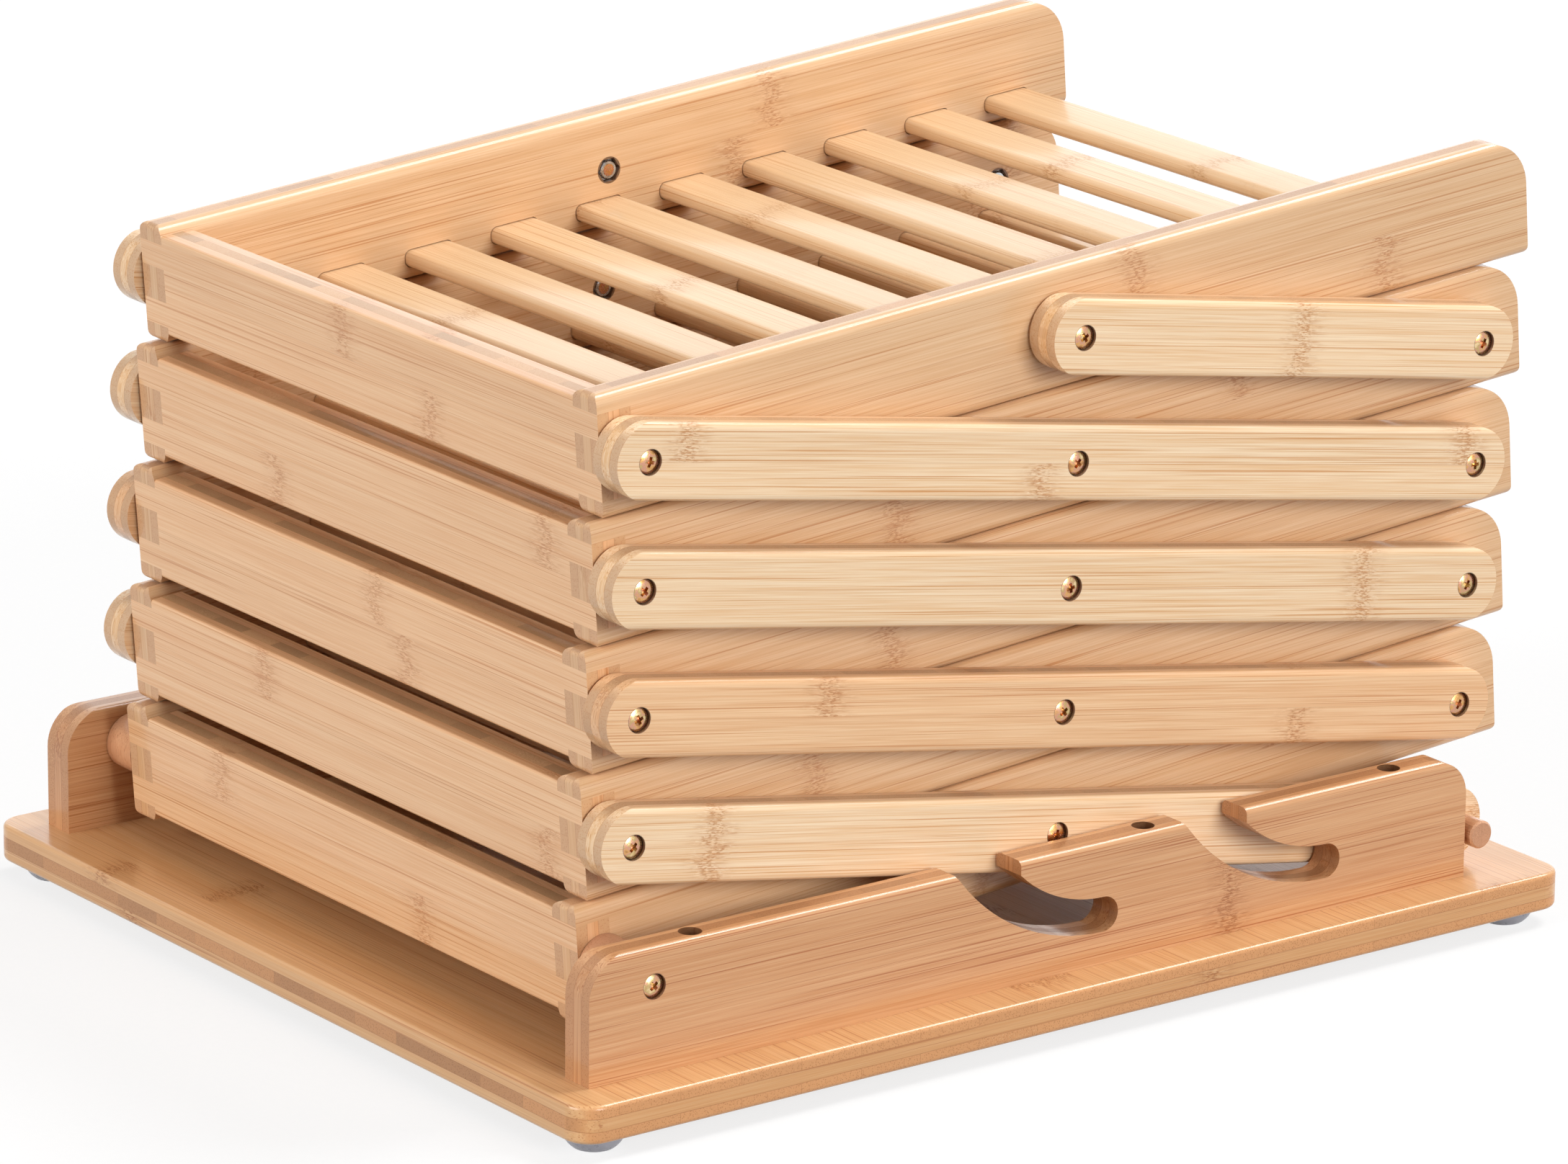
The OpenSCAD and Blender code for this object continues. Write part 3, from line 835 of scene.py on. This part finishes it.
def grow(role: Role, start: bpy.types.Mesh, tree_name: str, fill: Callable[[Tree], Node],
         values: dict[str, Any]) -> Piece:
    """Makes a piece by a geometry tree, and keeps the result as its plain mesh.

    Args:
        role: The piece's role.
        start: The mesh that the tree starts from.
        tree_name: The tree's name.
        fill: Adds the tree's nodes where it isn't there yet.
        values: Values of its inputs, by name.

    Returns:
        The piece, with no modifier left on it.
    """
    piece = new_object(role.name, start)
    tree = geometry_tree(tree_name, fill, values)
    modifier = piece.modifiers.new(tree_name, "NODES")
    modifier.node_group = tree
    named = {s.name: s.identifier for s in tree.interface.items_tree if s.in_out == "INPUT"}
    for name, value in values.items():
        modifier[named[name]] = value
    bpy.context.view_layer.update()
    evaluated = piece.evaluated_get(bpy.context.evaluated_depsgraph_get())
    mesh = bpy.data.meshes.new_from_object(evaluated)
    piece.modifiers.remove(modifier)
    piece.data = mesh
    bpy.data.meshes.remove(start)
    mesh.name = role.name
    LOG.info("%s: %d faces", role.name, len(mesh.polygons))
    return role.give(piece)


BAMBOO = LaminatedBamboo()
ZINC = ZincPlate()


@dataclass(frozen=True)
class PanHeadScrew:
    """Pan-head screw with a cross recess, as deep in its counterbore as the frame's own."""

    head_r: float = 3.6
    head_h: float = 2.4
    sink: float = 0.2
    shank_r: float = 2.0
    dome_r: float = 8.5
    recess_span: float = 4.6
    recess_width: float = 1.25
    recess_depth: float = 1.7
    recess_taper: tuple[float, float, float] = (-0.6, -0.3, 0.0)
    shank_overlap: float = 1 / 3
    seed: int = 7
    head_steps: int = 40
    head_rings: int = 8
    shank_steps: int = 24

    def fill(self, t: Tree) -> Node:
        """Adds the nodes that set a screw on each point.

        Args:
            t: The tree to fill.

        Returns:
            The node that gives the screws. A head looks along the +Z of its point's turn.
        """
        src = t.source

        # Head: a disc whose top rings sink to a dome
        disc = t.add("GeometryNodeMeshCylinder", self.head_steps, 1, self.head_rings, src["head_r"],
                     src["head_h"], fill_type="TRIANGLE_FAN")
        position = t.add("GeometryNodeInputPosition")
        point = t.split(position)
        away = t.vector("LENGTH", t.xyz(point["X"], point["Y"])).outputs["Value"]
        rise = t.math("SUBTRACT", t.math("POWER", src["dome_r"], 2.0), t.math("POWER", away, 2.0))
        drop = t.xyz(0.0, 0.0, t.math("SUBTRACT", t.math("SQRT", rise), src["dome_r"]))
        head = t.add("GeometryNodeSetPosition", disc, t.math("GREATER_THAN", point["Z"], 0.0), None, drop)

        # Cross recess: two wedges that narrow downwards
        size = t.xyz(src["recess_span"], src["recess_width"], src["recess_depth"])
        wedge = t.add("GeometryNodeMeshCube", t.vector("MULTIPLY", size, (1, 1, 2)), 2, 2, 2)
        wedge = t.add("GeometryNodeSetPosition", wedge, t.math("LESS_THAN", point["Z"], 0.0), None,
                      t.vector("MULTIPLY", position, self.recess_taper))
        half = t.math("MULTIPLY", src["head_h"], 0.5)
        lift = t.xyz(0.0, 0.0, half)
        cross = [t.moved(wedge, lift), t.moved(wedge, lift, (0, 0, math.pi / 2))]
        sunk = t.math("MULTIPLY", t.math("ADD", src["sink"], half), -1.0)
        head = t.raised(t.boolean("DIFFERENCE", head, cross), sunk)

        # Shank, from inside the head to the tip
        start = t.total(t.math("SUBTRACT", sunk, half), (src["head_h"], self.shank_overlap))
        tall = t.math("ADD", start, src["length"])
        shank = t.cylinder(self.shank_steps, src["shank_r"], tall)
        screw = t.boolean("UNION", [head, t.raised(shank, t.total(start, (tall, -0.5)))])

        # One on each point, each driven home to a turn of its own
        roll = t.add("FunctionNodeRandomValue", 0.0, math.pi, on={"Seed": src["seed"]}, data_type="FLOAT")
        roll = t.add("FunctionNodeAxisAngleToRotation", (0, 0, 1), roll)
        turn = t.add("FunctionNodeRotateRotation", t.station_turn(), roll, rotation_space="LOCAL")
        return t.copies(src["Geometry"], screw, turn)

    def make(self, role: Role, places: Sequence[tuple[Vector, int]], along: Vector, length: float) -> Piece:
        """Makes the screws of one body.

        Args:
            role: Their role.
            places: Point on the board's face and side that each head looks to.
            along: Direction of the board.
            length: Distance from the board's face to a screw's tip, in millimetres.

        Returns:
            The piece.
        """
        values = sizes(self, "head_r", "head_h", "dome_r", "sink", "shank_r", "recess_span", "recess_width",
                       "recess_depth")
        values |= {"length": length * MM, "seed": self.seed, "material": ZINC.material(Passivation.YELLOW)}
        return grow(role, stations_mesh(places, along), "pan head screws", self.fill, values)


@dataclass(frozen=True)
class LockNut:
    """Hexagonal lock nut with a round collar, flush in a pocket of the side board's inner face."""

    across_flats: float = 7.0
    height: float = 5.0
    collar_r: float = 3.2
    collar_h: float = 1.7
    bore_r: float = 2.04
    bore_reach: float = 3.0
    sink: float = 0.2
    cone_top: float = 0.93
    cone_foot: float = 1.35
    lip_share: float = 0.86
    bevel_share: float = 0.35
    hexagon: int = 6
    round_steps: int = 48

    def fill(self, t: Tree) -> Node:
        """Adds the nodes that set a lock nut on each point.

        Args:
            t: The tree to fill.

        Returns:
            The node that gives the nuts. A collar looks along the +Z of its point's turn.
        """
        src = t.source
        corner, collar_r, collar_h = src["corner_r"], src["collar_r"], src["collar_h"]
        body_h = t.math("SUBTRACT", src["height"], collar_h)
        prism = t.cylinder(self.hexagon, corner, body_h)

        # A steep cone takes the sharp corners off the prism's ends
        narrow = t.math("MULTIPLY", corner, self.cone_top)
        wide = t.math("MULTIPLY", corner, self.cone_foot)
        cone = t.add("GeometryNodeMeshCone", self.round_steps, 1, 1, narrow, wide, body_h)
        cone = t.raised(cone, t.math("MULTIPLY", body_h, -0.5))
        down = t.total(t.math("ADD", collar_h, src["sink"]), (body_h, 0.5))
        prism = t.raised(t.boolean("INTERSECT", [prism, cone]), t.math("MULTIPLY", down, -1.0))

        # Collar, with a bevelled lip that holds the nut's ring
        lip = t.math("MULTIPLY", collar_r, self.lip_share)
        part = t.math("MULTIPLY", collar_h, self.bevel_share)
        edge = t.math("MULTIPLY", t.math("ADD", part, src["sink"]), -1.0)
        bevel = t.raised(t.add("GeometryNodeMeshCone", self.round_steps, 1, 1, lip, collar_r, part), edge)
        low = t.math("SUBTRACT", src["height"], part)
        collar = t.cylinder(self.round_steps, collar_r, low)
        collar = t.raised(collar, t.total(edge, (low, -0.5)))
        nut = t.boolean("UNION", [prism, collar, bevel])
        through = t.math("MULTIPLY", src["height"], self.bore_reach)
        bore = t.cylinder(self.round_steps, src["bore_r"], through)
        return t.copies(src["Geometry"], t.boolean("DIFFERENCE", nut, [bore]), t.station_turn())

    def make(self, role: Role, places: Sequence[tuple[Vector, int]], along: Vector) -> Piece:
        """Makes the lock nuts of one body.

        Args:
            role: Their role.
            places: Point on the side board's inner face and side that each collar looks to.
            along: Direction of the board.

        Returns:
            The piece.
        """
        values = sizes(self, "height", "collar_r", "collar_h", "bore_r", "sink")
        values |= {"corner_r": self.across_flats / 2 / math.cos(math.pi / self.hexagon) * MM,
                   "material": ZINC.material(Passivation.CLEAR)}
        return grow(role, stations_mesh(places, along), "lock nuts", self.fill, values)


@dataclass(frozen=True)
class SlatRow:
    """Row of single-ply bamboo slats with round edges, let into the side boards."""

    count: int = 10
    pitch: float = 33.0
    start: float = 14.3
    width: float = 18.0
    thickness: float = 5.5
    edge_r: float = 2.2
    edge_steps: int = 7
    drop: float = 9.0
    mortise: float = 6.0
    fit: float = 0.25
    seeds: float = 90.0

    def fill(self, t: Tree) -> Node:
        """Adds the nodes of a row of slats.

        Args:
            t: The tree to fill.

        Returns:
            The node that gives the slats, with a random number each as the attribute "slat".
        """
        src = t.source
        slat = t.rounded_bar(src["width"], src["thickness"], src["edge_r"], src["half_span"],
                             self.edge_steps)
        row = t.add("GeometryNodeMeshLine", src["count"], src["first"], t.xyz(0.0, src["pitch"]))
        dice = t.add("FunctionNodeRandomValue", 0.0, self.seeds, on={"Seed": src["seed"]},
                     data_type="FLOAT")
        named = t.add("GeometryNodeStoreNamedAttribute", t.copies(row, slat), None, "slat", dice,
                      data_type="FLOAT", domain="INSTANCE")
        return t.moved(t.add("GeometryNodeRealizeInstances", named), src["origin"], t.xyz(src["tilt"]))

    def make(self, role: Role, origin: Vector, along: Vector, half_width: float, seed: int,
             material: Material) -> Piece:
        """Makes the slats of one tray.

        Args:
            role: Their role.
            origin: The tray's front pivot, in the middle of the stand.
            along: Direction of the tray.
            half_width: Half the clear width between the side boards, in metres.
            seed: For the random number of each slat.
            material: Their finish.

        Returns:
            The piece.
        """
        first = Vector((0, self.start + self.width / 2, -self.drop - self.thickness / 2)) * MM
        values = sizes(self, "pitch", "width", "thickness", "edge_r")
        values |= {"count": self.count, "half_span": half_width + (self.mortise - self.fit) * MM,
                   "first": first, "origin": origin, "tilt": math.atan2(along.z, along.y), "seed": seed,
                   "material": material}
        return grow(role, bpy.data.meshes.new("start"), "slat row", self.fill, values)


@dataclass(frozen=True)
class FrontBoard:
    """Front board, with a shoulder above and below the fingers that lie between the side boards' own."""

    reach: float = 8.8
    thickness: float = 11.9
    height: float = 32.4
    edge_r: float = 1.1
    edge_steps: int = 5
    joint: float = 26.8
    finger: float = 10.8
    bore_r: float = 2.04
    bore_steps: int = 32

    def fill(self, t: Tree) -> Node:
        """Adds the nodes of a front board.

        Args:
            t: The tree to fill.

        Returns:
            The node that gives the board.
        """
        src = t.source
        board = t.rounded_bar(src["thickness"], src["height"], src["edge_r"], src["half_span"],
                              self.edge_steps)

        # Pilot holes for the pivot screws, from both ends
        bore = t.cylinder(self.bore_steps, src["bore_r"], t.math("MULTIPLY", src["bore_depth"], 2.0))
        pivot = t.math("MULTIPLY", t.split(src["centre"])["Y"], -1.0)
        ends = [t.xyz(t.math("MULTIPLY", src["half_span"], side), pivot) for side in SIDES]
        holes = [t.moved(bore, end, (0, math.pi / 2, 0)) for end in ends]
        board = t.boolean("DIFFERENCE", board, holes)

        # Two bars that run through the board and stand out at its ends as fingers
        tall = t.math("MULTIPLY", t.math("SUBTRACT", src["joint"], src["finger"]), 0.5)
        wide = t.math("MULTIPLY", src["half_width"], 2.0)
        bar = t.add("GeometryNodeMeshCube", t.xyz(wide, src["thickness"], tall))
        off = t.math("ADD", src["finger"], tall)
        bars = [t.raised(bar, t.math("MULTIPLY", off, side / 2)) for side in SIDES]
        board = t.smoothed(t.boolean("UNION", [board] + bars))
        return t.moved(t.moved(board, src["centre"]), src["origin"], t.xyz(src["tilt"]))

    def make(self, role: Role, origin: Vector, along: Vector, half_span: float, half_width: float,
             material: Material) -> Piece:
        """Makes the front board of one tray.

        Args:
            role: Its role.
            origin: The tray's front pivot, in the middle of the stand.
            along: Direction of the tray.
            half_span: Half the clear width between the side boards, in metres.
            half_width: Half the width over the side boards, in metres.
            material: Its finish.

        Returns:
            The piece.
        """
        centre = Vector((0, self.thickness / 2 - self.reach, 0)) * MM
        values = sizes(self, "thickness", "height", "edge_r", "joint", "finger", "bore_r")
        values |= {"half_span": half_span, "half_width": half_width, "bore_depth": SCREW_BITE * MM,
                   "centre": centre, "origin": origin, "tilt": math.atan2(along.z, along.y),
                   "material": material}
        return grow(role, bpy.data.meshes.new("start"), "front board", self.fill, values)


@dataclass(frozen=True)
class Bumpers:
    """Domed bumpers under the corners of the base board, stuck to its underside."""

    radius: float = 9.5
    inset: float = 14.0
    pinch: float = 0.74
    steps: int = 48
    rings: int = 8

    def fill(self, t: Tree) -> Node:
        """Adds the nodes that set a bumper on each point.

        Args:
            t: The tree to fill.

        Returns:
            The node that gives the bumpers. Their sides curve in towards the floor, as part of an ellipse.
        """
        src = t.source
        pad = t.cylinder(self.steps, src["radius"], src["height"], self.rings)
        place = t.add("GeometryNodeInputPosition")
        depth = t.math("SUBTRACT", 0.5, t.math("DIVIDE", t.split(place)["Z"], src["height"]))
        depth = t.math("POWER", t.math("MULTIPLY", depth, src["pinch"]), 2.0)
        wide = t.math("SQRT", t.math("SUBTRACT", 1.0, depth))
        curve = t.vector("MULTIPLY", place, t.xyz(wide, wide, 1.0))
        return t.copies(src["Geometry"], t.add("GeometryNodeSetPosition", pad, True, curve))

    def make(self) -> Piece:
        """Makes the bumpers under the base board.

        Returns:
            The piece.
        """
        role = Role("bumpers", "base", "feet", "clear_bumper")
        low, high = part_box("base_board")
        floor, top = (corner.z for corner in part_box("feet"))
        inset = self.inset * MM
        places = [(x, y, (floor + top) / 2) for x in (low.x + inset, high.x - inset)
                  for y in (low.y + inset, high.y - inset)]
        start = bpy.data.meshes.new("start")
        start.from_pydata(places, [], [])
        values = sizes(self, "radius")
        values |= {"height": top - floor, "pinch": self.pinch, "material": ClearBumper().material()}
        return grow(role, start, "bumpers", self.fill, values)


@dataclass
class Base:
    """Base board with its bumpers, and the two notched cheeks that are screwed down on it."""

    linkage: Linkage
    base_strip: float = 22.0
    cheek_strip: float = 20.0
    cheek_knuckle: float = 217.0
    shaft_r: float = 3.5
    shafts: tuple[float, ...] = (17.0, 187.0, 284.6)
    base_seed: float = 3.0
    cheek_seed: float = 11.0

    def build(self) -> None:
        """Dresses the base's solids and makes its bumpers."""
        low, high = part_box("base_board")
        top = high.z
        board = BoardAxes((low + high) / 2, X_AXIS, Y_AXIS)
        dress("base_board", BAMBOO.material("base_board", board, BASE_TONE, self.base_strip,
                                            self.base_seed))
        for side, name in SIDES.items():
            node = "cheek_" + name
            low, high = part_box(node)
            middle = Vector(((low.x + high.x) / 2, self.linkage.fronts[0].y, top + self.cheek_strip * MM))
            axes = BoardAxes(middle, Y_AXIS, Z_AXIS)
            knuckles = (self.cheek_knuckle, self.cheek_knuckle) if side == RIGHT else None
            dress(node, BAMBOO.material(node, axes, CHEEK_TONE, self.cheek_strip, self.cheek_seed + side,
                                        knuckles=knuckles, bores=self.cheek_bores(middle)))
        dress("cheek_screws", ZINC.material(Passivation.YELLOW))
        Bumpers().make()

    def cheek_bores(self, middle: Vector) -> list[Bore]:
        """Lists a cheek's holes.

        Args:
            middle: Middle of the cheek's own frame.

        Returns:
            The pivot's counterbore and the screws' shafts.
        """
        pivot = Bore(0.0, (self.linkage.fronts[0].z - middle.z) / MM, COUNTERBORE_R)
        return [pivot] + [Bore(along, 0.0, self.shaft_r, Drilled.DOWN) for along in self.shafts]


@dataclass
class Tray:
    """One tray: side boards, front board, slats, and the screws, nuts and washers of its pivots."""

    number: int
    linkage: Linkage
    front_knuckles: tuple[float, float]
    right_knuckles: tuple[float, float] = (140.0, 255.0)
    left_knuckles: tuple[float, float] | None = None
    side_strip: float = 19.5
    front_strip: float = 16.2
    pocket_r: float = 4.3
    side_seed_step: float = 7.0
    front_seed_step: float = 5.0
    front_seed: float = 0.5
    spacer_seed: float = 2.0
    screw_seed_step: int = 3

    @property
    def body(self) -> str:
        """The body that the tray moves with."""
        return f"tray_{self.number}"

    @property
    def front(self) -> Vector:
        """The tray's front pivot, in the middle of the stand."""
        return self.linkage.fronts[self.number - 1]

    @property
    def pivots(self) -> list[Vector]:
        """The pivots with a machine screw: the middle one, and the rear one where a link hangs on it."""
        rear = [self.linkage.rear(self.number)] if self.number < TRAYS else []
        return [self.linkage.middles[self.number - 1]] + rear

    def axes(self, x: float = 0.0, y: float = 0.0) -> BoardAxes:
        """Frame of a board that runs along the tray, at x in metres and y in millimetres from the pivot."""
        along = self.linkage.tray_along
        return BoardAxes(self.front + X_AXIS * x + along * y * MM, along, X_AXIS.cross(along))

    def build(self) -> None:
        """Dresses the tray's side boards and makes its front board, slats and fasteners."""
        low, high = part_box(self.body + "_right_side")
        self.dress_sides()
        self.make_front(low.x, high.x)
        self.make_slats(low.x)
        self.make_fasteners(low.x)

    def dress_sides(self) -> None:
        """Gives the side boards their finish."""
        pockets = [Bore((pivot - self.front).length / MM, 0.0, self.pocket_r) for pivot in self.pivots]
        for side, name in SIDES.items():
            node = f"{self.body}_{name}_side"
            low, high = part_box(node)
            knuckles = self.right_knuckles if side == RIGHT else self.left_knuckles
            axes = self.axes((low.x + high.x) / 2)
            dress(node, BAMBOO.material(node, axes, SIDE_TONE, self.side_strip,
                                        self.number * self.side_seed_step + side, knuckles=knuckles,
                                        bores=pockets))

    def make_front(self, inner: float, outer: float) -> None:
        """Makes the front board, whose grain runs across the tray.

        Args:
            inner: Where the right side board's inner face lies, in metres.
            outer: Where its outer face lies.
        """
        node = self.body + "_front"
        shape = FrontBoard()
        tray = self.axes(y=shape.thickness / 2 - shape.reach)
        material = BAMBOO.material(node, BoardAxes(tray.middle, X_AXIS, tray.up), FRONT_TONE,
                                   self.front_strip, self.number * self.front_seed_step + self.front_seed,
                                   knuckles=self.front_knuckles)
        role = Role(node + "_board", self.body, node, "bamboo_board")
        shape.make(role, self.front, tray.along, inner, outer, material)

    def make_slats(self, inner: float) -> None:
        """Makes the slats, whose grain runs across the tray.

        Args:
            inner: Where the right side board's inner face lies, in metres.
        """
        node = self.body + "_slats"
        tray = self.axes()
        material = BAMBOO.material(node, BoardAxes(tray.middle, X_AXIS, tray.along), SLAT_TONE, UNSPLIT,
                                   0.0, plies=Plies.SINGLE, seed_name="slat")
        role = Role(node + "_bars", self.body, node, "bamboo_slat")
        SlatRow().make(role, self.front, tray.along, inner, self.number, material)

    def make_fasteners(self, inner: float) -> None:
        """Makes the pivots' screws and lock nuts, and dresses the washers and spacers.

        Args:
            inner: Where the right side board's inner face lies, in metres.
        """
        tray = self.axes()
        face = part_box("link_1_right")[1].x
        outer = [(pivot + X_AXIS * face * side, side) for pivot in self.pivots for side in SIDES]
        screw = PanHeadScrew(seed=self.number * self.screw_seed_step)
        screw.make(Role(self.body + "_pivot_bolts", self.body, self.body + "_bolts", "yellow_zinc"), outer,
                   tray.along, (face - inner) / MM - screw.sink)
        inside = [(pivot + X_AXIS * inner * side, -side) for pivot in self.pivots for side in SIDES]
        LockNut().make(Role(self.body + "_lock_nuts", self.body, self.body + "_nuts", "plain_zinc"), inside,
                       tray.along)
        node = self.body + "_front_screws"
        if self.number == 1:
            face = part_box("cheek_right")[1].x
            node = "front_pivot_screws"
            axes = BoardAxes(tray.middle, tray.up, -tray.along)
            dress("front_spacers", BAMBOO.material("front_spacers", axes, DOWEL_TONE, UNSPLIT,
                                                   self.spacer_seed, plies=Plies.SINGLE))
        corners = [(self.front + X_AXIS * face * side, side) for side in SIDES]
        PanHeadScrew(seed=self.number * self.screw_seed_step + 1).make(
            Role(self.body + "_wood_screws", self.body, node, "yellow_zinc"), corners, tray.along,
            (face - inner) / MM + SCREW_BITE)
        dress(self.body + "_washers", ZINC.material(Passivation.CLEAR))


@dataclass
class LinkPair:
    """The left and right links that share a tray's middle pivot."""

    number: int
    linkage: Linkage
    knuckles: tuple[float, float]
    tone: BambooTone = LINK_TONE
    strip: float = 11.8
    seed_step: float = 3.0

    def build(self) -> None:
        """Dresses the two links."""
        along = self.linkage.link_along
        for side, name in SIDES.items():
            node = f"link_{self.number}_{name}"
            low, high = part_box(node)
            middle = self.linkage.middles[self.number - 1] + X_AXIS * ((low.x + high.x) / 2)
            axes = BoardAxes(middle, along, X_AXIS.cross(along))
            dress(node, BAMBOO.material(node, axes, self.tone, self.strip,
                                        self.number * self.seed_step + side, knuckles=self.knuckles,
                                        bores=self.counterbores()))

    def counterbores(self) -> list[Bore]:
        """Lists a link's holes.

        Returns:
            The middle hole, and the front and rear ones where the link has them. The rod's own is left out.
        """
        middle = self.linkage.middles[self.number - 1]
        reach = (middle - self.linkage.fronts[self.number - 1]).length / MM
        places = [0.0]
        if self.number < TRAYS:
            places.append(-reach)
        if self.number > 1:
            places.append(reach)
        return [Bore(place, 0.0, COUNTERBORE_R) for place in places]


@dataclass
class SupportRod:
    """Turned dowel through the lowest links, with its ends eased, that stands out over the cheeks."""

    linkage: Linkage
    diameter: float = 9.0
    beyond_cheek: float = 1.5
    ease: float = 0.6
    steps: int = 64
    seed: float = 5.0

    def build(self) -> Piece:
        """Makes the rod at its full length.

        Returns:
            The piece.
        """
        role = Role("support_dowel", "links_1", "support_rod", "bamboo_dowel")
        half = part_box("cheek_right")[1].x / MM + self.beyond_cheek
        radius = self.diameter / 2
        rings = ((-half, radius - self.ease), (self.ease - half, radius), (half - self.ease, radius),
                 (half, radius - self.ease))
        angles = [math.tau * i / self.steps for i in range(self.steps)]
        points = [(x, r * math.sin(angle), r * math.cos(angle)) for x, r in rings for angle in angles]
        points += [(-half, 0.0, 0.0), (half, 0.0, 0.0)]
        left, right = len(points) - 2, len(points) - 1
        last = left - self.steps
        faces = []
        for i, j in ((i, (i + 1) % self.steps) for i in range(self.steps)):
            faces += [(ring + i, ring + self.steps + i, ring + self.steps + j, ring + j)
                      for ring in range(0, last, self.steps)]
            faces += [(left, i, j), (right, last + j, last + i)]
        data = bpy.data.meshes.new(role.name)
        data.from_pydata([self.linkage.rod() + Vector(point) * MM for point in points], [], faces)
        data.shade_smooth()
        data.set_sharp_from_angle(angle=SHARP)
        axes = BoardAxes(self.linkage.rod(), X_AXIS, Y_AXIS)
        data.materials.append(BAMBOO.material("dowel", axes, DOWEL_TONE, UNSPLIT, self.seed,
                                              plies=Plies.SINGLE))
        return role.give(new_object(role.name, data))


@dataclass(frozen=True)
class Lamp:
    """A soft white lamp that shines evenly over the whole scene."""

    name: str
    towards: tuple[float, float, float]
    strength: float
    softness: float

    def build(self) -> None:
        """Sets the lamp up."""
        data = bpy.data.lights.new(self.name, "SUN")
        data.energy = self.strength
        data.angle = math.radians(self.softness)
        lamp = new_object(self.name, data)
        lamp.rotation_euler = Vector(self.towards).to_track_quat("Z", "Y").to_euler()


@dataclass(frozen=True)
class Studio:
    """Pale floor, white surroundings, four soft lamps and the camera."""

    azimuth: float = 53.32
    elevation: float = 16.99
    roll: float = 0.568
    lens: float = 202.7
    sensor: float = 36.0
    camera_place: tuple[float, float, float] = (2.1174, -1.5797, 0.9103)
    floor_half: float = 6.0
    paper: tuple[str, str] = ("#808080", "#848484")
    paper_grain: float = 2.5
    floor_glow: float = 0.77
    surround: float = 0.2
    lamps: tuple[Lamp, ...] = (
        Lamp("key", (0.93, 0.08, 0.34), 2.2, 30.0),
        Lamp("front", (-0.12, -0.90, 0.32), 2.15, 40.0),
        Lamp("overhead", (0.07, 0.57, 0.82), 1.9, 24.0),
        Lamp("backdrop", (-0.77, 0.57, 0.33), 0.3, 45.0))

    def build(self) -> None:
        """Sets up the floor, the surroundings, the lamps and the camera."""
        self.build_world()
        self.build_floor()
        for lamp in self.lamps:
            lamp.build()
        self.build_camera()

    def backdrop_rays(self, t: Tree) -> Node:
        """Adds a mask of the rays that see the backdrop itself, by eye, in a gloss or through what is clear.

        Args:
            t: The tree to fill.

        Returns:
            The node that gives 1 for these rays and 0 for the others.
        """
        path = t.add("ShaderNodeLightPath").outputs
        seen = t.math("MAXIMUM", path["Is Camera Ray"], path["Is Glossy Ray"])
        return t.math("MAXIMUM", seen, path["Is Transmission Ray"])

    def build_world(self) -> None:
        """Surrounds the stand with white, which lights it less than it shows."""
        world = bpy.data.worlds.new("studio")
        world.use_nodes = True
        world.node_tree.nodes.clear()
        t = Tree(world.node_tree)
        light, seen = (t.add("ShaderNodeBackground", WHITE, strength) for strength in (self.surround, 1.0))
        t.add("ShaderNodeOutputWorld", t.add("ShaderNodeMixShader", self.backdrop_rays(t), light, seen))
        bpy.context.scene.world = world

    def build_floor(self) -> None:
        """Lays a pale floor that is white where nothing shades it."""
        h = self.floor_half
        mesh = bpy.data.meshes.new("floor")
        mesh.from_pydata([(-h, -h, 0), (h, -h, 0), (h, h, 0), (-h, h, 0)], [], [(0, 1, 2, 3)])
        material, t = new_material("white_paper")
        dark, light = (linear(colour) for colour in self.paper)
        paper = t.add("ShaderNodeBsdfDiffuse", t.layers(dark, (t.noise(self.paper_grain, 2.0), light)))
        seen = t.math("MULTIPLY", self.backdrop_rays(t), self.floor_glow)
        glow = t.add("ShaderNodeEmission", WHITE, seen)
        t.add("ShaderNodeOutputMaterial", t.add("ShaderNodeAddShader", paper, glow))
        mesh.materials.append(material)
        floor = new_object("floor", mesh)

    def build_camera(self) -> None:
        """Sets the camera where the photograph was taken from."""
        a, e, r = (math.radians(v) for v in (self.azimuth, self.elevation, self.roll))
        back = Vector((math.sin(a) * math.cos(e), -math.cos(a) * math.cos(e), math.sin(e)))
        level = Vector((math.cos(a), math.sin(a), 0))
        right = level * math.cos(r) + back.cross(level) * math.sin(r)
        turn = Matrix((right, back.cross(right), back)).transposed()
        data = bpy.data.cameras.new("camera")
        data.lens = self.lens
        data.sensor_width = self.sensor
        camera = new_object("camera", data)
        camera.matrix_world = Matrix.Translation(self.camera_place) @ turn.to_4x4()
        bpy.context.scene.camera = camera
        bpy.context.scene.view_settings.view_transform = "Standard"


def main() -> None:
    """Builds the stand from the base up, and the studio round it."""
    logging.basicConfig(level=logging.INFO, format="%(message)s")
    linkage = Linkage.from_joints(frame["joints"])
    Base(linkage).build()
    trays = (Tray(1, linkage, (40.0, -69.0)),
             Tray(2, linkage, (103.0, -47.0), (76.0, 76.0)),
             Tray(3, linkage, (26.0, 11.0), (101.0, 101.0)),
             Tray(4, linkage, (-47.0, 98.0), (102.0, 233.0)),
             Tray(5, linkage, (34.0, -10.0), (287.0, 190.0), (210.0, 225.0)))
    pairs = (LinkPair(1, linkage, (-131.0, -131.0)),
             LinkPair(2, linkage, (93.0, -92.0), WARM_LINK_TONE),
             LinkPair(3, linkage, (117.0, 117.0)),
             LinkPair(4, linkage, (-13.0, -147.0)),
             LinkPair(5, linkage, (85.0, 85.0)))
    for part in trays + pairs:
        part.build()
    SupportRod(linkage).build()
    Studio().build()


if __name__ == "__main__":
    main()
